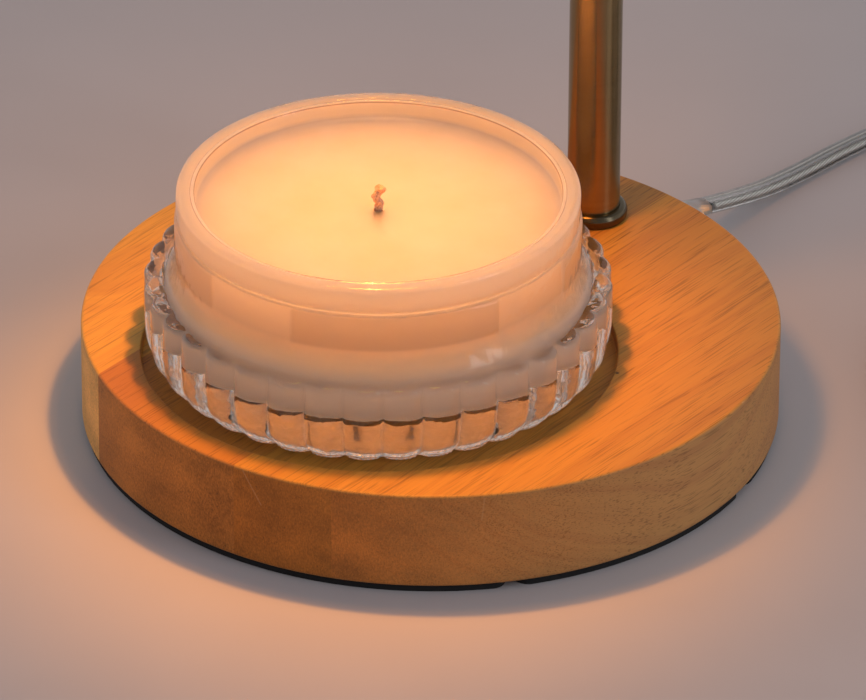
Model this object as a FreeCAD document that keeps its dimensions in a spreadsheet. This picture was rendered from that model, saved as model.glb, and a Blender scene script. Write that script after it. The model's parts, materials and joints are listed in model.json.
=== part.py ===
"""Candle warmer lamp: a wooden foot with a telescoping brass pole, an arched arm over a candle, and a
dimmer on its cord. Millimetres, +Z up, origin on the table under the middle of the round foot.
The pole stands at +Y, the candle towards -Y, and the cord leaves at the back."""

import FreeCAD, Part
import math
import os

import Sketcher

Vector = FreeCAD.Vector
document = FreeCAD.newDocument("candle_warmer_lamp")
sheet = document.addObject("Spreadsheet::Sheet", "sizes")

# ---------------------------------------------------------------- driving dimensions, in mm and degrees
DIMENSIONS = [
    # wooden foot
    ("base_radius", 75), ("base_thick", 22), ("base_edge", 0.6),
    ("recess_radius", 50.8), ("recess_depth", 2.5), ("recess_shift", 17.6), ("head_shift", 14.2),
    ("pole_reach", 71), ("wood_over_nut", 5), ("wiring_radius", 10.5),
    ("plate_radius", 67), ("plate_thick", 3), ("plate_recess", 4), ("plate_clear", 0.4),
    ("plate_screw_circle", 56), ("plate_screw_radius", 1.75), ("plate_screw_head", 3.4),
    ("plate_screw_length", 12), ("plate_screw_first", 30),
    # non-slip strips, each from its angle to the next one's
    ("strip_thick", 1.5), ("strip_inset", 0.7), ("strip_width", 6), ("strip_gap", 1.5),
    ("strip_first", 12.2), ("strip_second", 100), ("strip_third", 158),
    ("strip_fourth", 214), ("strip_fifth", 322),
    # pole
    ("tube_radius", 5.75), ("tube_wall", 1), ("tube_top", 160), ("fit", 0.05),
    ("foot_ring_radius", 7.5), ("foot_ring_height", 3),
    ("nipple_bore", 3), ("nipple_up", 11.5), ("nipple_down", 5.2),
    ("washer_radius", 9), ("washer_thick", 1), ("nut_flats", 14), ("nut_thick", 4),
    ("collar_radius", 8.5), ("collar_below", 10), ("collar_above", 6),
    ("screw_radius", 2), ("knob_radius", 6), ("knob_length", 7), ("knob_gap", 0.8),
    ("knob_grooves", 20), ("knob_groove", 0.6),
    # upper tube and arm
    ("arm_radius", 4.65), ("arm_wall", 1), ("arm_foot", 112), ("arch_height", 308),
    ("bush_length", 4), ("bush_spigot", 8), ("bush_bore", 3),
    ("ferrule_radius", 7.5), ("ferrule_height", 12), ("ferrule_seat", 4),
    ("head_nipple_radius", 3.6), ("head_nipple_bore", 2.9), ("head_nipple_up", 8),
    ("head_nut_flats", 12), ("head_nut_thick", 4),
    # head
    ("light_height", 215), ("cup_radius", 19.6), ("cup_wall", 1.6), ("cup_height", 29.4),
    ("cup_top", 1.2), ("cup_vents", 8), ("vent_width", 2.4), ("vent_height", 9),
    ("shade_radius", 59.8), ("shade_thick", 0.8), ("shade_skirt", 19.8), ("shade_below", 12),
    ("shade_flat", 24), ("shade_bead", 1),
    ("ring_lip", 20.4), ("ring_neck", 7), ("ring_thick", 1.6), ("ring_bore", 15),
    ("holder_radius", 14.5), ("holder_height", 17.7),
    ("bracket_half", 8.2), ("bracket_foot", 5.6), ("bracket_thick", 1), ("bracket_width", 8),
    ("holder_screw_radius", 1.2), ("holder_screw_head", 2.2),
    # reflector bulb
    ("bulb_radius", 25), ("bulb_wall", 1.2), ("bulb_neck", 11.5), ("bulb_bowl", 33),
    ("bulb_base_radius", 12), ("bulb_base_height", 14), ("lens_thick", 3), ("rest_gap", 0.05),
    ("capsule_radius", 4.5), ("capsule_length", 15),
    ("pin_circle", 5), ("pin_radius", 1.6), ("pin_head", 2.4), ("pin_shank", 2.6), ("pin_length", 5.2),
    ("slot_clear", 0.15), ("slot_turn", 30),
    # inner leads
    ("lead_radius", 1.1), ("lead_offset", 1.7), ("lead_bend", 3), ("lead_lower_top", 150),
    ("lead_upper_foot", 132),
    # cord and strain relief
    ("cord_radius", 3.2), ("cord_exit_height", 10.4), ("relief_sag", 75), ("relief_droop", 15),
    ("relief_collar", 5.2), ("relief_collar_length", 2.5), ("relief_root", 4.2), ("relief_tip", 3.5),
    ("relief_clear", 0.2), ("relief_gap", 0.3), ("cord_first_run", 14.5),
    ("relief_flange", 4.8), ("relief_flange_thick", 1.5), ("relief_inset", 1.5),
    # in-line dimmer
    ("dimmer_x", 159), ("dimmer_y", 127), ("dimmer_length", 72), ("dimmer_width", 28),
    ("dimmer_height", 17), ("dimmer_split", 11), ("dimmer_wall", 1.6), ("dimmer_corner", 9),
    ("dimmer_edge", 2), ("dimmer_cord_height", 6), ("dimmer_boss", 4.4), ("dimmer_boss_length", 3),
    ("post_offset", 29), ("post_radius", 3.2), ("case_screw_radius", 1.2), ("case_screw_head", 2.4),
    ("board_length", 48), ("board_width", 20), ("board_thick", 1.6), ("board_height", 3.2),
    ("spindle_x", -12), ("spindle_radius", 2.95), ("pot_side", 12), ("pot_height", 6),
    ("dial_radius", 11), ("dial_height", 6), ("dial_gap", 0.3), ("dial_grooves", 24),
    ("dial_groove", 0.7), ("button_x", 16), ("button_radius", 4), ("button_flange", 5.2),
    ("button_proud", 1.4), ("button_travel", 1), ("switch_side", 6), ("switch_height", 4),
    # coil and plug
    ("coil_x", 92), ("coil_y", 138), ("coil_inner", 26), ("coil_outer", 47), ("coil_height", 8),
    ("tie_angle", 310), ("tie_span", 10), ("tie_thick", 0.8),
    ("plug_x", 95.2), ("plug_y", 167.8), ("plug_tail", 10), ("plug_length", 20), ("plug_width", 24),
    ("plug_thick", 14), ("blade_length", 15.5), ("blade_width", 6.3), ("blade_thick", 1.5),
    ("blade_spacing", 12.7),
    # candle
    ("candle_x", -1.9), ("candle_y", -1.5), ("jar_height", 39.8), ("jar_ribs", 36),
    ("jar_foot", 44.8), ("jar_body", 49.9), ("rib_depth", 1.6), ("ledge_height", 19),
    ("shoulder_height", 25.3), ("neck_radius", 43.3), ("rim_radius", 42.9), ("rim_height", 6),
    ("rim_groove", 0.5), ("rim_inner", 40.6), ("jar_bore", 38.8), ("jar_floor", 8),
    ("jar_floor_round", 6), ("punt_radius", 36), ("punt_depth", 0.8), ("lug_raise", 0.7),
    ("lug_height", 8.2), ("lug_span", 58),
    ("lug_first", 20), ("wax_down", 4.3), ("wax_clear", 0.05),
    ("wick_radius", 1), ("wick_up", 6), ("tab_radius", 9), ("tab_thick", 0.5),
    ("tab_neck", 2), ("tab_neck_height", 4),
]
for row, (alias, number) in enumerate(DIMENSIONS, start=1):
    sheet.set(f"A{row}", alias)
    sheet.set(f"B{row}", str(number))
    sheet.setAlias(f"B{row}", alias)
document.recompute()


class Size:
    """A dimension in two forms: its number now, and the expression on the sheet that gives it."""

    def __init__(self, number, words):
        self.number = float(number)
        self.words = words

    def __add__(self, other):
        return Size(self.number + plain(other), f"({self.words} + {wording(other)})")

    def __sub__(self, other):
        return Size(self.number - plain(other), f"({self.words} - {wording(other)})")

    def __mul__(self, other):
        return Size(self.number * plain(other), f"({self.words} * {wording(other)})")

    def __truediv__(self, other):
        return Size(self.number / plain(other), f"({self.words} / {wording(other)})")

    def __radd__(self, other):
        return Size(other, wording(other)) + self

    def __rsub__(self, other):
        return Size(other, wording(other)) - self

    def __rmul__(self, other):
        return Size(other, wording(other)) * self

    def __neg__(self):
        return Size(-self.number, f"(0 - {self.words})")

    def __float__(self):
        return self.number


def plain(value):
    return value.number if isinstance(value, Size) else float(value)


def wording(value):
    return value.words if isinstance(value, Size) else f"{float(value):.9g}"


def size(alias):
    return Size(sheet.get(alias), f"{sheet.Name}.{alias}")


def cosine(angle):
    return Size(math.cos(math.radians(plain(angle))), f"cos({wording(angle)})")


def sine(angle):
    return Size(math.sin(math.radians(plain(angle))), f"sin({wording(angle)})")


def polar(radius, angle):
    return cosine(angle) * radius, sine(angle) * radius


# ---------------------------------------------------------------- ways of making a sub-part
sub_parts = []


def bind(thing, name, value):
    """Ties one property to the sheet. A plain number is only set by the caller."""
    if isinstance(value, Size):
        thing.setExpression(name, value.words)


def named(thing, label, place=(0, 0, 0)):
    thing.Label = label
    for letter, value in zip("xyz", place):
        bind(thing, f"Placement.Base.{letter}", value)
    sub_parts.append(thing)
    return thing


def new_body(label, place=(0, 0, 0)):
    return named(document.addObject("PartDesign::Body", label), label, place)


def origin_part(body, role):
    return next(part for part in body.Origin.OriginFeatures if part.Role == role)


def arc_between(start, end, radius):
    """The counter-clockwise arc on two points. A positive radius has its centre on the left."""
    across = Vector(end[0] - start[0], end[1] - start[1], 0)
    middle = Vector((start[0] + end[0]) / 2, (start[1] + end[1]) / 2, 0)
    left = Vector(-across.y, across.x, 0).normalize()
    rise = math.sqrt(max(radius**2 - (across.Length / 2) ** 2, 0))
    centre = middle + left * (rise if radius > 0 else -rise)
    angles = [math.atan2(p[1] - centre.y, p[0] - centre.x) for p in (start, end)]
    if radius < 0:
        angles.reverse()
    if angles[1] < angles[0]:
        angles[1] += 2 * math.pi
    return Part.ArcOfCircle(Part.Circle(centre, Vector(0, 0, 1), abs(radius)), *angles)


def draw(body, plane, loops, up=0):
    """A sketch of closed loops. A loop is a list of (x, y) corners; a third value makes the edge from
    that corner to the next an arc of that radius. A loop of one triple is a circle."""
    sketch = body.newObject("Sketcher::SketchObject", body.Name + "_sketch")
    sketch.AttachmentSupport = (origin_part(body, plane), [""])
    sketch.MapMode = "FlatFace"
    sketch.AttachmentOffset = FreeCAD.Placement(Vector(0, 0, plain(up)), FreeCAD.Rotation())
    bind(sketch, "AttachmentOffset.Base.z", up)

    def hold(kind, *where):
        value = where[-1]
        index = sketch.addConstraint(Sketcher.Constraint(kind, *where[:-1], plain(value)))
        bind(sketch, f"Constraints[{index}]", value)

    for loop in loops:
        first = sketch.GeometryCount
        if len(loop) == 1:
            x, y, radius = loop[0]
            centre = Vector(plain(x), plain(y), 0)
            sketch.addGeometry(Part.Circle(centre, Vector(0, 0, 1), plain(radius)), False)
            hold("DistanceX", -1, 1, first, 3, x)
            hold("DistanceY", -1, 1, first, 3, y)
            hold("Radius", first, radius)
            continue
        ends = []
        for here, there in zip(loop, loop[1:] + loop[:1]):
            start, end = [(plain(p[0]), plain(p[1])) for p in (here, there)]
            if len(here) == 3:
                sketch.addGeometry(arc_between(start, end, plain(here[2])), False)
                ends.append((1, 2) if plain(here[2]) > 0 else (2, 1))
            else:
                sketch.addGeometry(Part.LineSegment(Vector(*start, 0), Vector(*end, 0)), False)
                ends.append((1, 2))
        for index in range(len(loop)):
            after = (index + 1) % len(loop)
            link = (first + index, ends[index][1], first + after, ends[after][0])
            sketch.addConstraint(Sketcher.Constraint("Coincident", *link))
        for index, corner in enumerate(loop):
            hold("DistanceX", -1, 1, first + index, ends[index][0], corner[0])
            hold("DistanceY", -1, 1, first + index, ends[index][0], corner[1])
            if len(corner) == 3:
                radius = corner[2] if plain(corner[2]) > 0 else -corner[2]
                hold("Radius", first + index, radius)
    return sketch


def feature(body, kind, sketch, **settings):
    made = body.newObject("PartDesign::" + kind, f"{body.Name}_{kind}")
    made.Profile = sketch
    for name, value in settings.items():
        setattr(made, name, plain(value) if isinstance(value, (Size, float)) else value)
        bind(made, name, value)
    return made


def turn(body, loops, kind="Revolution"):
    """Turns loops of (radius, height) about the body's Z axis."""
    sketch = draw(body, "XZ_Plane", loops)
    return feature(body, kind, sketch, ReferenceAxis=(sketch, ["V_Axis"]), Angle=360.0)


def turned(label, loops, place=(0, 0, 0)):
    body = new_body(label, place)
    turn(body, loops)
    return body


def pad(body, loops, length, up=0, plane="XY_Plane", midplane=False):
    return feature(body, "Pad", draw(body, plane, loops, up), Length=length, Midplane=midplane)


def pocket(body, loops, length, up=0, plane="XY_Plane", reversed_=True, midplane=False):
    """Cuts upwards from height up on the XY plane, unless reversed_ is false."""
    sketch = draw(body, plane, loops, up)
    return feature(body, "Pocket", sketch, Length=length, Reversed=reversed_, Midplane=midplane)


def around(body, original, count, axis="Z_Axis"):
    pattern = body.newObject("PartDesign::PolarPattern", body.Name + "_pattern")
    pattern.Originals = [original]
    pattern.Axis = (origin_part(body, axis), [""])
    pattern.Angle = 360
    pattern.Occurrences = int(plain(count))
    bind(pattern, "Occurrences", count)
    body.Tip = pattern
    return pattern


def rectangle(x_low, y_low, x_high, y_high):
    return [(x_low, y_low), (x_high, y_low), (x_high, y_high), (x_low, y_high)]


def centred(length, width):
    return rectangle(-length / 2, -width / 2, length / 2, width / 2)


def hexagon(flats):
    return [polar(flats / math.sqrt(3), 60 * side) for side in range(6)]


def rounded(length, width, corner):
    """A rectangle with round corners, centred, as one loop."""
    x, y = length / 2, width / 2
    return [
        (-x + corner, -y), (x - corner, -y, corner), (x, -y + corner), (x, y - corner, corner),
        (x - corner, y), (-x + corner, y, corner), (-x, y - corner), (-x, -y + corner, corner),
    ]


def shaped(label, shape, place=(0, 0, 0)):
    """A sub-part whose shape is worked out here from the sheet's sizes."""
    thing = document.addObject("Part::Feature", label)
    thing.Shape = shape
    at = Vector(*[plain(value) for value in place])
    thing.Placement = FreeCAD.Placement(at, shape.Placement.Rotation)
    thing.Label = label
    for letter, value in zip("xyz", place):
        bind(thing, f"Placement.Base.{letter}", value)
    sub_parts.append(thing)
    return thing


def route(points, share=0.45):
    """Straight runs with tangent arcs: radius = share of the shorter run / tan(half the turn)."""
    edges, radii = [], []
    at = points[0]
    for before, corner, after in zip(points, points[1:], points[2:]):
        back, ahead = before - corner, after - corner
        reach = share * min(back.Length, ahead.Length)
        half = (math.pi - back.getAngle(ahead)) / 2
        back.normalize()
        ahead.normalize()
        radii.append(reach / math.tan(half))
        start, end = corner + back * reach, corner + ahead * reach
        inward = (back + ahead).normalize()
        middle = corner + inward * (radii[-1] / math.cos(half) - radii[-1])
        edges.append(Part.LineSegment(at, start).toShape())
        edges.append(Part.Arc(start, middle, end).toShape())
        at = end
    edges.append(Part.LineSegment(at, points[-1]).toShape())
    return Part.Wire(edges), radii


def tube_on(wire, direction, radius):
    circle = Part.makeCircle(radius, wire.Vertexes[0].Point, direction)
    return wire.makePipeShell([Part.Wire(circle)], True, False)


def cord(label, points, ring=None):
    """A free cord's solid: round, along its route, with its radii and volume printed. It ends where it
    meets the coil, if that is given."""
    vectors = [Vector(*[plain(value) for value in point]) for point in points]
    wire, radii = route(vectors)
    radius = plain(size("cord_radius"))
    solid = tube_on(wire, vectors[1] - vectors[0], radius)
    expected = math.pi * radius**2 * wire.Length
    print(f"{label}: length {wire.Length:.1f}, volume {solid.Volume:.0f} of {expected:.0f},"
          f" radii {[round(value) for value in radii]}")
    return shaped(label, solid.cut(ring) if ring else solid)


# ---------------------------------------------------------------- places that several pieces share
strip_thick = size("strip_thick")
base_bottom = strip_thick
base_top = strip_thick + size("base_thick")
recess_y = -size("recess_shift")
head_y = -size("head_shift")
pole_y = size("pole_reach") - size("head_shift")
plate_seat = base_bottom + size("plate_recess")
nut_seat = base_top - size("wood_over_nut")
tube_inside = size("tube_radius") - size("tube_wall")
nipple_outside = tube_inside - size("fit")
recess_floor = base_top - size("recess_depth")
pole_place = (0, pole_y, 0)
head_place = (0, head_y, 0)
collar_height = size("collar_below") + size("collar_above")
screw_height = size("tube_top") - size("collar_below") / 2
arm_inside = size("arm_radius") - size("arm_wall")
bulb_base_top = size("light_height") + size("bulb_bowl") + size("bulb_base_height")
holder_bottom = bulb_base_top + size("slot_clear") * 2
holder_top = holder_bottom + size("holder_height")
cup_inside = size("cup_radius") - size("cup_wall")
shade_bottom = size("light_height") - size("shade_below")
shade_shoulder = shade_bottom + size("shade_skirt")
shade_top = shade_shoulder + (size("shade_radius") - size("shade_flat"))
cup_top = shade_top + size("cup_height")
cup_ceiling = cup_top - size("cup_top")
arm_end = cup_top + size("ferrule_seat")
relief_seat = pole_y + size("wiring_radius") - size("relief_inset")
taper_start = size("base_radius") + size("relief_gap") + size("relief_collar_length")
relief_end_y = taper_start + size("relief_sag") * sine(size("relief_droop"))
relief_end_z = size("cord_exit_height") - size("relief_sag") * (1 - cosine(size("relief_droop")))
jar_place = (size("candle_x"), head_y + size("candle_y"), recess_floor + size("rest_gap"))


# ---------------------------------------------------------------- wooden foot
def make_base_disc():
    """The wood: candle recess above; plate recess, wiring pocket, pole hole and cord hole below."""
    base = new_body("base_disc")
    radius, edge = size("base_radius"), size("base_edge")
    turn(base, [[
        (0, base_bottom), (radius - edge, base_bottom, edge), (radius, base_bottom + edge),
        (radius, base_top - edge, edge), (radius - edge, base_top), (0, base_top),
    ]])
    recess = [[(0, recess_y, size("recess_radius"))]]
    pocket(base, recess, size("recess_depth"), recess_floor)
    wide = [[(0, 0, size("plate_radius") + size("plate_clear"))]]
    pocket(base, wide, size("plate_recess"), base_bottom)
    pocket(base, [[(0, pole_y, size("wiring_radius"))]], nut_seat - plate_seat, plate_seat)
    hole = [[(0, pole_y, nipple_outside + size("fit"))]]
    pocket(base, hole, size("wood_over_nut"), nut_seat)
    cord_hole = [[(0, size("cord_exit_height"), size("relief_root") + size("relief_clear"))]]
    wall = size("base_radius") - pole_y
    pocket(base, cord_hole, wall, -size("base_radius"), "XZ_Plane", reversed_=True)
    pilot = [[(*polar(size("plate_screw_circle"), size("plate_screw_first")), size("plate_screw_radius"))]]
    depth = size("plate_screw_length") - size("plate_thick")
    around(base, pocket(base, pilot, depth, plate_seat), 3)


def make_foot_strips():
    """Curved non-slip strips, cut to unequal lengths, with round ends."""
    names = ["strip_first", "strip_second", "strip_third", "strip_fourth", "strip_fifth"]
    outer = size("base_radius") - size("strip_inset")
    middle = outer - size("strip_width") / 2
    inner = outer - size("strip_width")
    round_end = size("strip_width") / 2
    end_angle = size("strip_gap") / 2 + size("strip_width") / size("base_radius") * 30
    for number, name in enumerate(names, start=1):
        start = size(name) + end_angle
        following = size(names[number % len(names)])
        turn_round = 360 if plain(following) < plain(size(name)) else 0
        end = following + turn_round - end_angle
        strip = new_body(f"foot_strip_{number}")
        half_way = (start + end) / 2
        pad(strip, [[
            (*polar(outer, start), outer), (*polar(outer, half_way), outer),
            (*polar(outer, end), round_end * 1.0002), (*polar(inner, end), -inner),
            (*polar(inner, half_way), -inner), (*polar(inner, start), round_end * 1.0002),
        ]], strip_thick)


def make_ballast():
    plate = new_body("ballast_plate")
    bottom = plate_seat - size("plate_thick")
    pad(plate, [[(0, 0, size("plate_radius"))]], size("plate_thick"), bottom)
    spot = polar(size("plate_screw_circle"), size("plate_screw_first"))
    head_depth = size("plate_screw_head") - size("plate_screw_radius")
    hole = new_body("ballast_screws")
    for angle in (0, 120, 240):
        x, y = polar(size("plate_screw_circle"), size("plate_screw_first") + angle)
        sink = [[(x, y, size("plate_screw_head"))]]
        pad(hole, sink, head_depth, bottom)
        shank = [[(x, y, size("plate_screw_radius") - size("fit"))]]
        pad(hole, shank, size("plate_screw_length") - head_depth, bottom + head_depth)
    wide = [[(*spot, size("plate_screw_head") + size("fit"))]]
    around(plate, pocket(plate, wide, head_depth, bottom), 3)
    narrow = [[(*spot, size("plate_screw_radius"))]]
    around(plate, pocket(plate, narrow, size("plate_thick") - head_depth, bottom + head_depth), 3)


# ---------------------------------------------------------------- pole
def make_pole():
    """Tube, beaded ring, hollow threaded rod, washer, nut, collar and locking screw."""
    top = size("tube_top")
    tube = turned("lower_tube", [
        rectangle(tube_inside, base_top, size("tube_radius"), top),
    ], pole_place)
    screw_hole = [[(0, screw_height, size("screw_radius") + size("fit"))]]
    pocket(tube, screw_hole, size("tube_radius") + 1, 0, "XZ_Plane", reversed_=False)

    bore = size("tube_radius") + size("fit")
    ring, high = size("foot_ring_radius"), size("foot_ring_height")
    bulge = high * 0.6
    turned("foot_ring", [[
        (bore, base_top), (ring - 0.4, base_top, bulge), (ring - 0.4, base_top + high * 0.8),
        (bore + 0.6, base_top + high), (bore, base_top + high),
    ]], pole_place)

    rod_bottom = nut_seat - size("nipple_down")
    rod_top = base_top + size("nipple_up")
    turned("pole_nipple", [
        rectangle(size("nipple_bore"), rod_bottom, nipple_outside, rod_top),
    ], pole_place)
    washer_bottom = nut_seat - size("washer_thick")
    turned("pole_washer", [
        rectangle(tube_inside, washer_bottom, size("washer_radius"), nut_seat),
    ], pole_place)
    nut = new_body("pole_nut", pole_place)
    outline = [hexagon(size("nut_flats")), [(0, 0, tube_inside)]]
    pad(nut, outline, size("nut_thick"), washer_bottom - size("nut_thick"))

    collar = turned("clamp_collar", [[
        (bore, top - size("collar_below")), (size("collar_radius") - 0.8, top - size("collar_below"), 0.8),
        (size("collar_radius"), top - size("collar_below") + 0.8),
        (size("collar_radius"), top + size("collar_above") - 1.5, 1.5),
        (size("collar_radius") - 1.5, top + size("collar_above")),
        (size("arm_radius") + size("fit"), top + size("collar_above")),
        (size("arm_radius") + size("fit"), top), (bore, top),
    ]], pole_place)
    pocket(collar, screw_hole, size("collar_radius") + 1, 0, "XZ_Plane", reversed_=False)


def make_thumb_screw():
    """A knurled knob on a screw that bears on the upper tube; its axis is Y."""
    body = new_body("thumb_screw", (0, pole_y, screw_height))
    tip = size("arm_radius") + size("fit") * 4
    knob_start = size("collar_radius") + size("knob_gap")
    knob_end = knob_start + size("knob_length")
    radius, shank = size("knob_radius"), size("screw_radius")
    sketch = draw(body, "XY_Plane", [[
        (0, tip), (shank - 0.4, tip), (shank, tip + 0.4), (shank, knob_start), (radius - 0.6, knob_start),
        (radius, knob_start + 0.6), (radius, knob_end - 1.2, 1.2), (radius - 1.2, knob_end), (0, knob_end),
    ]])
    feature(body, "Revolution", sketch, ReferenceAxis=(sketch, ["V_Axis"]), Angle=360.0)
    groove = [[(0, radius + size("knob_groove") * 0.2, size("knob_groove"))]]
    cut = pocket(body, groove, size("knob_length") + 2, -(knob_end + 1), "XZ_Plane", reversed_=True)
    around(body, cut, size("knob_grooves"), "Y_Axis")


def make_arm():
    """Guide bush, arched tube, ferrule and the hollow rod and nut that the head hangs on."""
    foot = size("arm_foot")
    turned("guide_bush", [[
        (size("bush_bore"), foot - size("bush_length")),
        (tube_inside - size("fit"), foot - size("bush_length")),
        (tube_inside - size("fit"), foot), (arm_inside - size("fit"), foot),
        (arm_inside - size("fit"), foot + size("bush_spigot")),
        (size("bush_bore"), foot + size("bush_spigot")),
    ]], pole_place)

    start = Vector(0, plain(pole_y), plain(foot))
    spring = Vector(0, plain(pole_y), plain(size("arch_height")))
    half = size("pole_reach") / 2
    crown = Vector(0, plain(pole_y - half), plain(size("arch_height") + half))
    landing = Vector(0, plain(head_y), plain(size("arch_height")))
    end = Vector(0, plain(head_y), plain(arm_end))
    path = Part.Wire([
        Part.LineSegment(start, spring).toShape(), Part.Arc(spring, crown, landing).toShape(),
        Part.LineSegment(landing, end).toShape(),
    ])
    outside = tube_on(path, Vector(0, 0, 1), plain(size("arm_radius")))
    shaped("arm_tube", outside.cut(tube_on(path, Vector(0, 0, 1), plain(arm_inside))))

    bore = size("arm_radius") + size("fit")
    rod = size("head_nipple_radius")
    radius, high = size("ferrule_radius"), size("ferrule_height")
    turned("arm_ferrule", [[
        (rod + size("fit"), cup_top), (radius, cup_top), (radius, cup_top + high - 3.5, 3.5),
        (radius - 1.6, cup_top + high), (bore, cup_top + high), (bore, arm_end), (rod + size("fit"), arm_end),
    ]], head_place)
    below = cup_ceiling - size("bracket_thick") - size("head_nut_thick")
    turned("head_nipple", [
        rectangle(size("head_nipple_bore"), below, rod, arm_end + size("head_nipple_up")),
    ], head_place)
    nut = new_body("head_nut", head_place)
    pad(nut, [hexagon(size("head_nut_flats")), [(0, 0, rod + size("fit"))]], size("head_nut_thick"), below)


# ---------------------------------------------------------------- head
def make_head():
    """Cup, shade, retaining ring, bracket, screws and lamp holder."""
    outer, wall = size("cup_radius"), size("cup_wall")
    cup = turned("head_cup", [[
        (cup_inside, shade_top), (outer, shade_top), (outer, cup_top - 4, 4), (outer - 4, cup_top),
        (size("head_nipple_radius") + size("fit"), cup_top),
        (size("head_nipple_radius") + size("fit"), cup_ceiling), (cup_inside, cup_ceiling),
    ]], head_place)
    middle = shade_top + size("cup_height") * 0.55
    half, tall = size("vent_width") / 2, size("vent_height") / 2
    vent = [[
        (-half, middle - tall, half * 1.0002), (half, middle - tall),
        (half, middle + tall, half * 1.0002), (-half, middle + tall),
    ]]
    cut = pocket(cup, vent, outer + 1, 0, "XZ_Plane", reversed_=False)
    around(cup, cut, size("cup_vents"))

    neck = cup_inside - size("fit") * 2
    thick = size("shade_thick")
    skirt, flat = size("shade_radius"), size("shade_flat")
    dome = skirt - flat
    bead = size("shade_bead")
    turned("shade", [[
        (neck + size("fit"), shade_top - thick), (flat, shade_top - thick, -(dome - thick)),
        (skirt - thick, shade_shoulder), (skirt - thick, shade_bottom), (skirt + bead, shade_bottom),
        (skirt + bead, shade_bottom + bead * 1.4), (skirt, shade_bottom + bead * 2),
        (skirt, shade_shoulder, dome), (flat, shade_top), (neck + size("fit"), shade_top),
    ]], head_place)

    under = shade_top - thick
    turned("shade_ring", [[
        (size("ring_bore"), under - size("ring_thick")), (size("ring_lip"), under - size("ring_thick")),
        (size("ring_lip"), under), (neck, under), (neck, under + size("ring_neck")),
        (size("ring_bore"), under + size("ring_neck")),
    ]], head_place)

    bracket = new_body("holder_bracket", head_place)
    half, foot, sheet_thick = size("bracket_half"), size("bracket_foot"), size("bracket_thick")
    pad(bracket, [[
        (-half - foot, holder_top), (-half, holder_top), (-half, cup_ceiling - sheet_thick),
        (half, cup_ceiling - sheet_thick), (half, holder_top), (half + foot, holder_top),
        (half + foot, holder_top + sheet_thick), (half + sheet_thick, holder_top + sheet_thick),
        (half + sheet_thick, cup_ceiling), (-half - sheet_thick, cup_ceiling),
        (-half - sheet_thick, holder_top + sheet_thick), (-half - foot, holder_top + sheet_thick),
    ]], size("bracket_width"), 0, "XZ_Plane", midplane=True)
    rod_hole = [[(0, 0, size("head_nipple_radius") + size("fit"))]]
    pocket(bracket, rod_hole, sheet_thick * 2, cup_ceiling - sheet_thick * 1.5)
    screw_x = half + sheet_thick + (foot - sheet_thick) / 2
    shank = size("holder_screw_radius")
    holes = [[(screw_x, 0, shank + size("fit"))], [(-screw_x, 0, shank + size("fit"))]]
    pocket(bracket, holes, sheet_thick * 2, holder_top - sheet_thick * 0.5)

    screws = new_body("holder_screws", head_place)
    for side in (1, -1):
        pad(screws, [[(screw_x * side, 0, shank)]], 7 + sheet_thick, holder_top - 7)
        head = [[(screw_x * side, 0, size("holder_screw_head"))]]
        pad(screws, head, 1.6, holder_top + sheet_thick)

    holder = turned("lamp_holder", [[
        (0, holder_bottom), (size("holder_radius") - 0.8, holder_bottom, 0.8),
        (size("holder_radius"), holder_bottom + 0.8), (size("holder_radius"), holder_top - 1),
        (size("holder_radius") - 1, holder_top), (0, holder_top),
    ]], head_place)
    pocket(holder, [[(screw_x, 0, shank + size("fit"))], [(-screw_x, 0, shank + size("fit"))]],
           7.5, holder_top - 7.5)
    lead_way = [[(-size("lead_offset"), 0, size("lead_radius") + 0.2)]]
    pocket(holder, lead_way, 2, holder_top - 2)
    head_room = bulb_base_top + size("pin_shank") - size("slot_clear")
    deep = size("pin_length") - size("pin_shank") + size("slot_clear") * 4
    turn_back = -size("slot_turn")
    for width, low, high in (
        (size("pin_radius") + size("slot_clear"), holder_bottom, head_room - holder_bottom),
        (size("pin_head") + size("slot_clear"), head_room, deep),
    ):
        circle_out, circle_in = size("pin_circle") + width, size("pin_circle") - width
        slot = [[
            (*polar(circle_out, turn_back), circle_out), (*polar(circle_out, 0), width * 1.0002),
            (*polar(circle_in, 0), -circle_in), (*polar(circle_in, turn_back), width * 1.0002),
        ]]
        around(holder, pocket(holder, slot, high, low), 2)
    entry = [[(*polar(size("pin_circle"), turn_back), size("pin_head") + size("slot_clear"))]]
    around(holder, pocket(holder, entry, head_room - holder_bottom, holder_bottom), 2)


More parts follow.
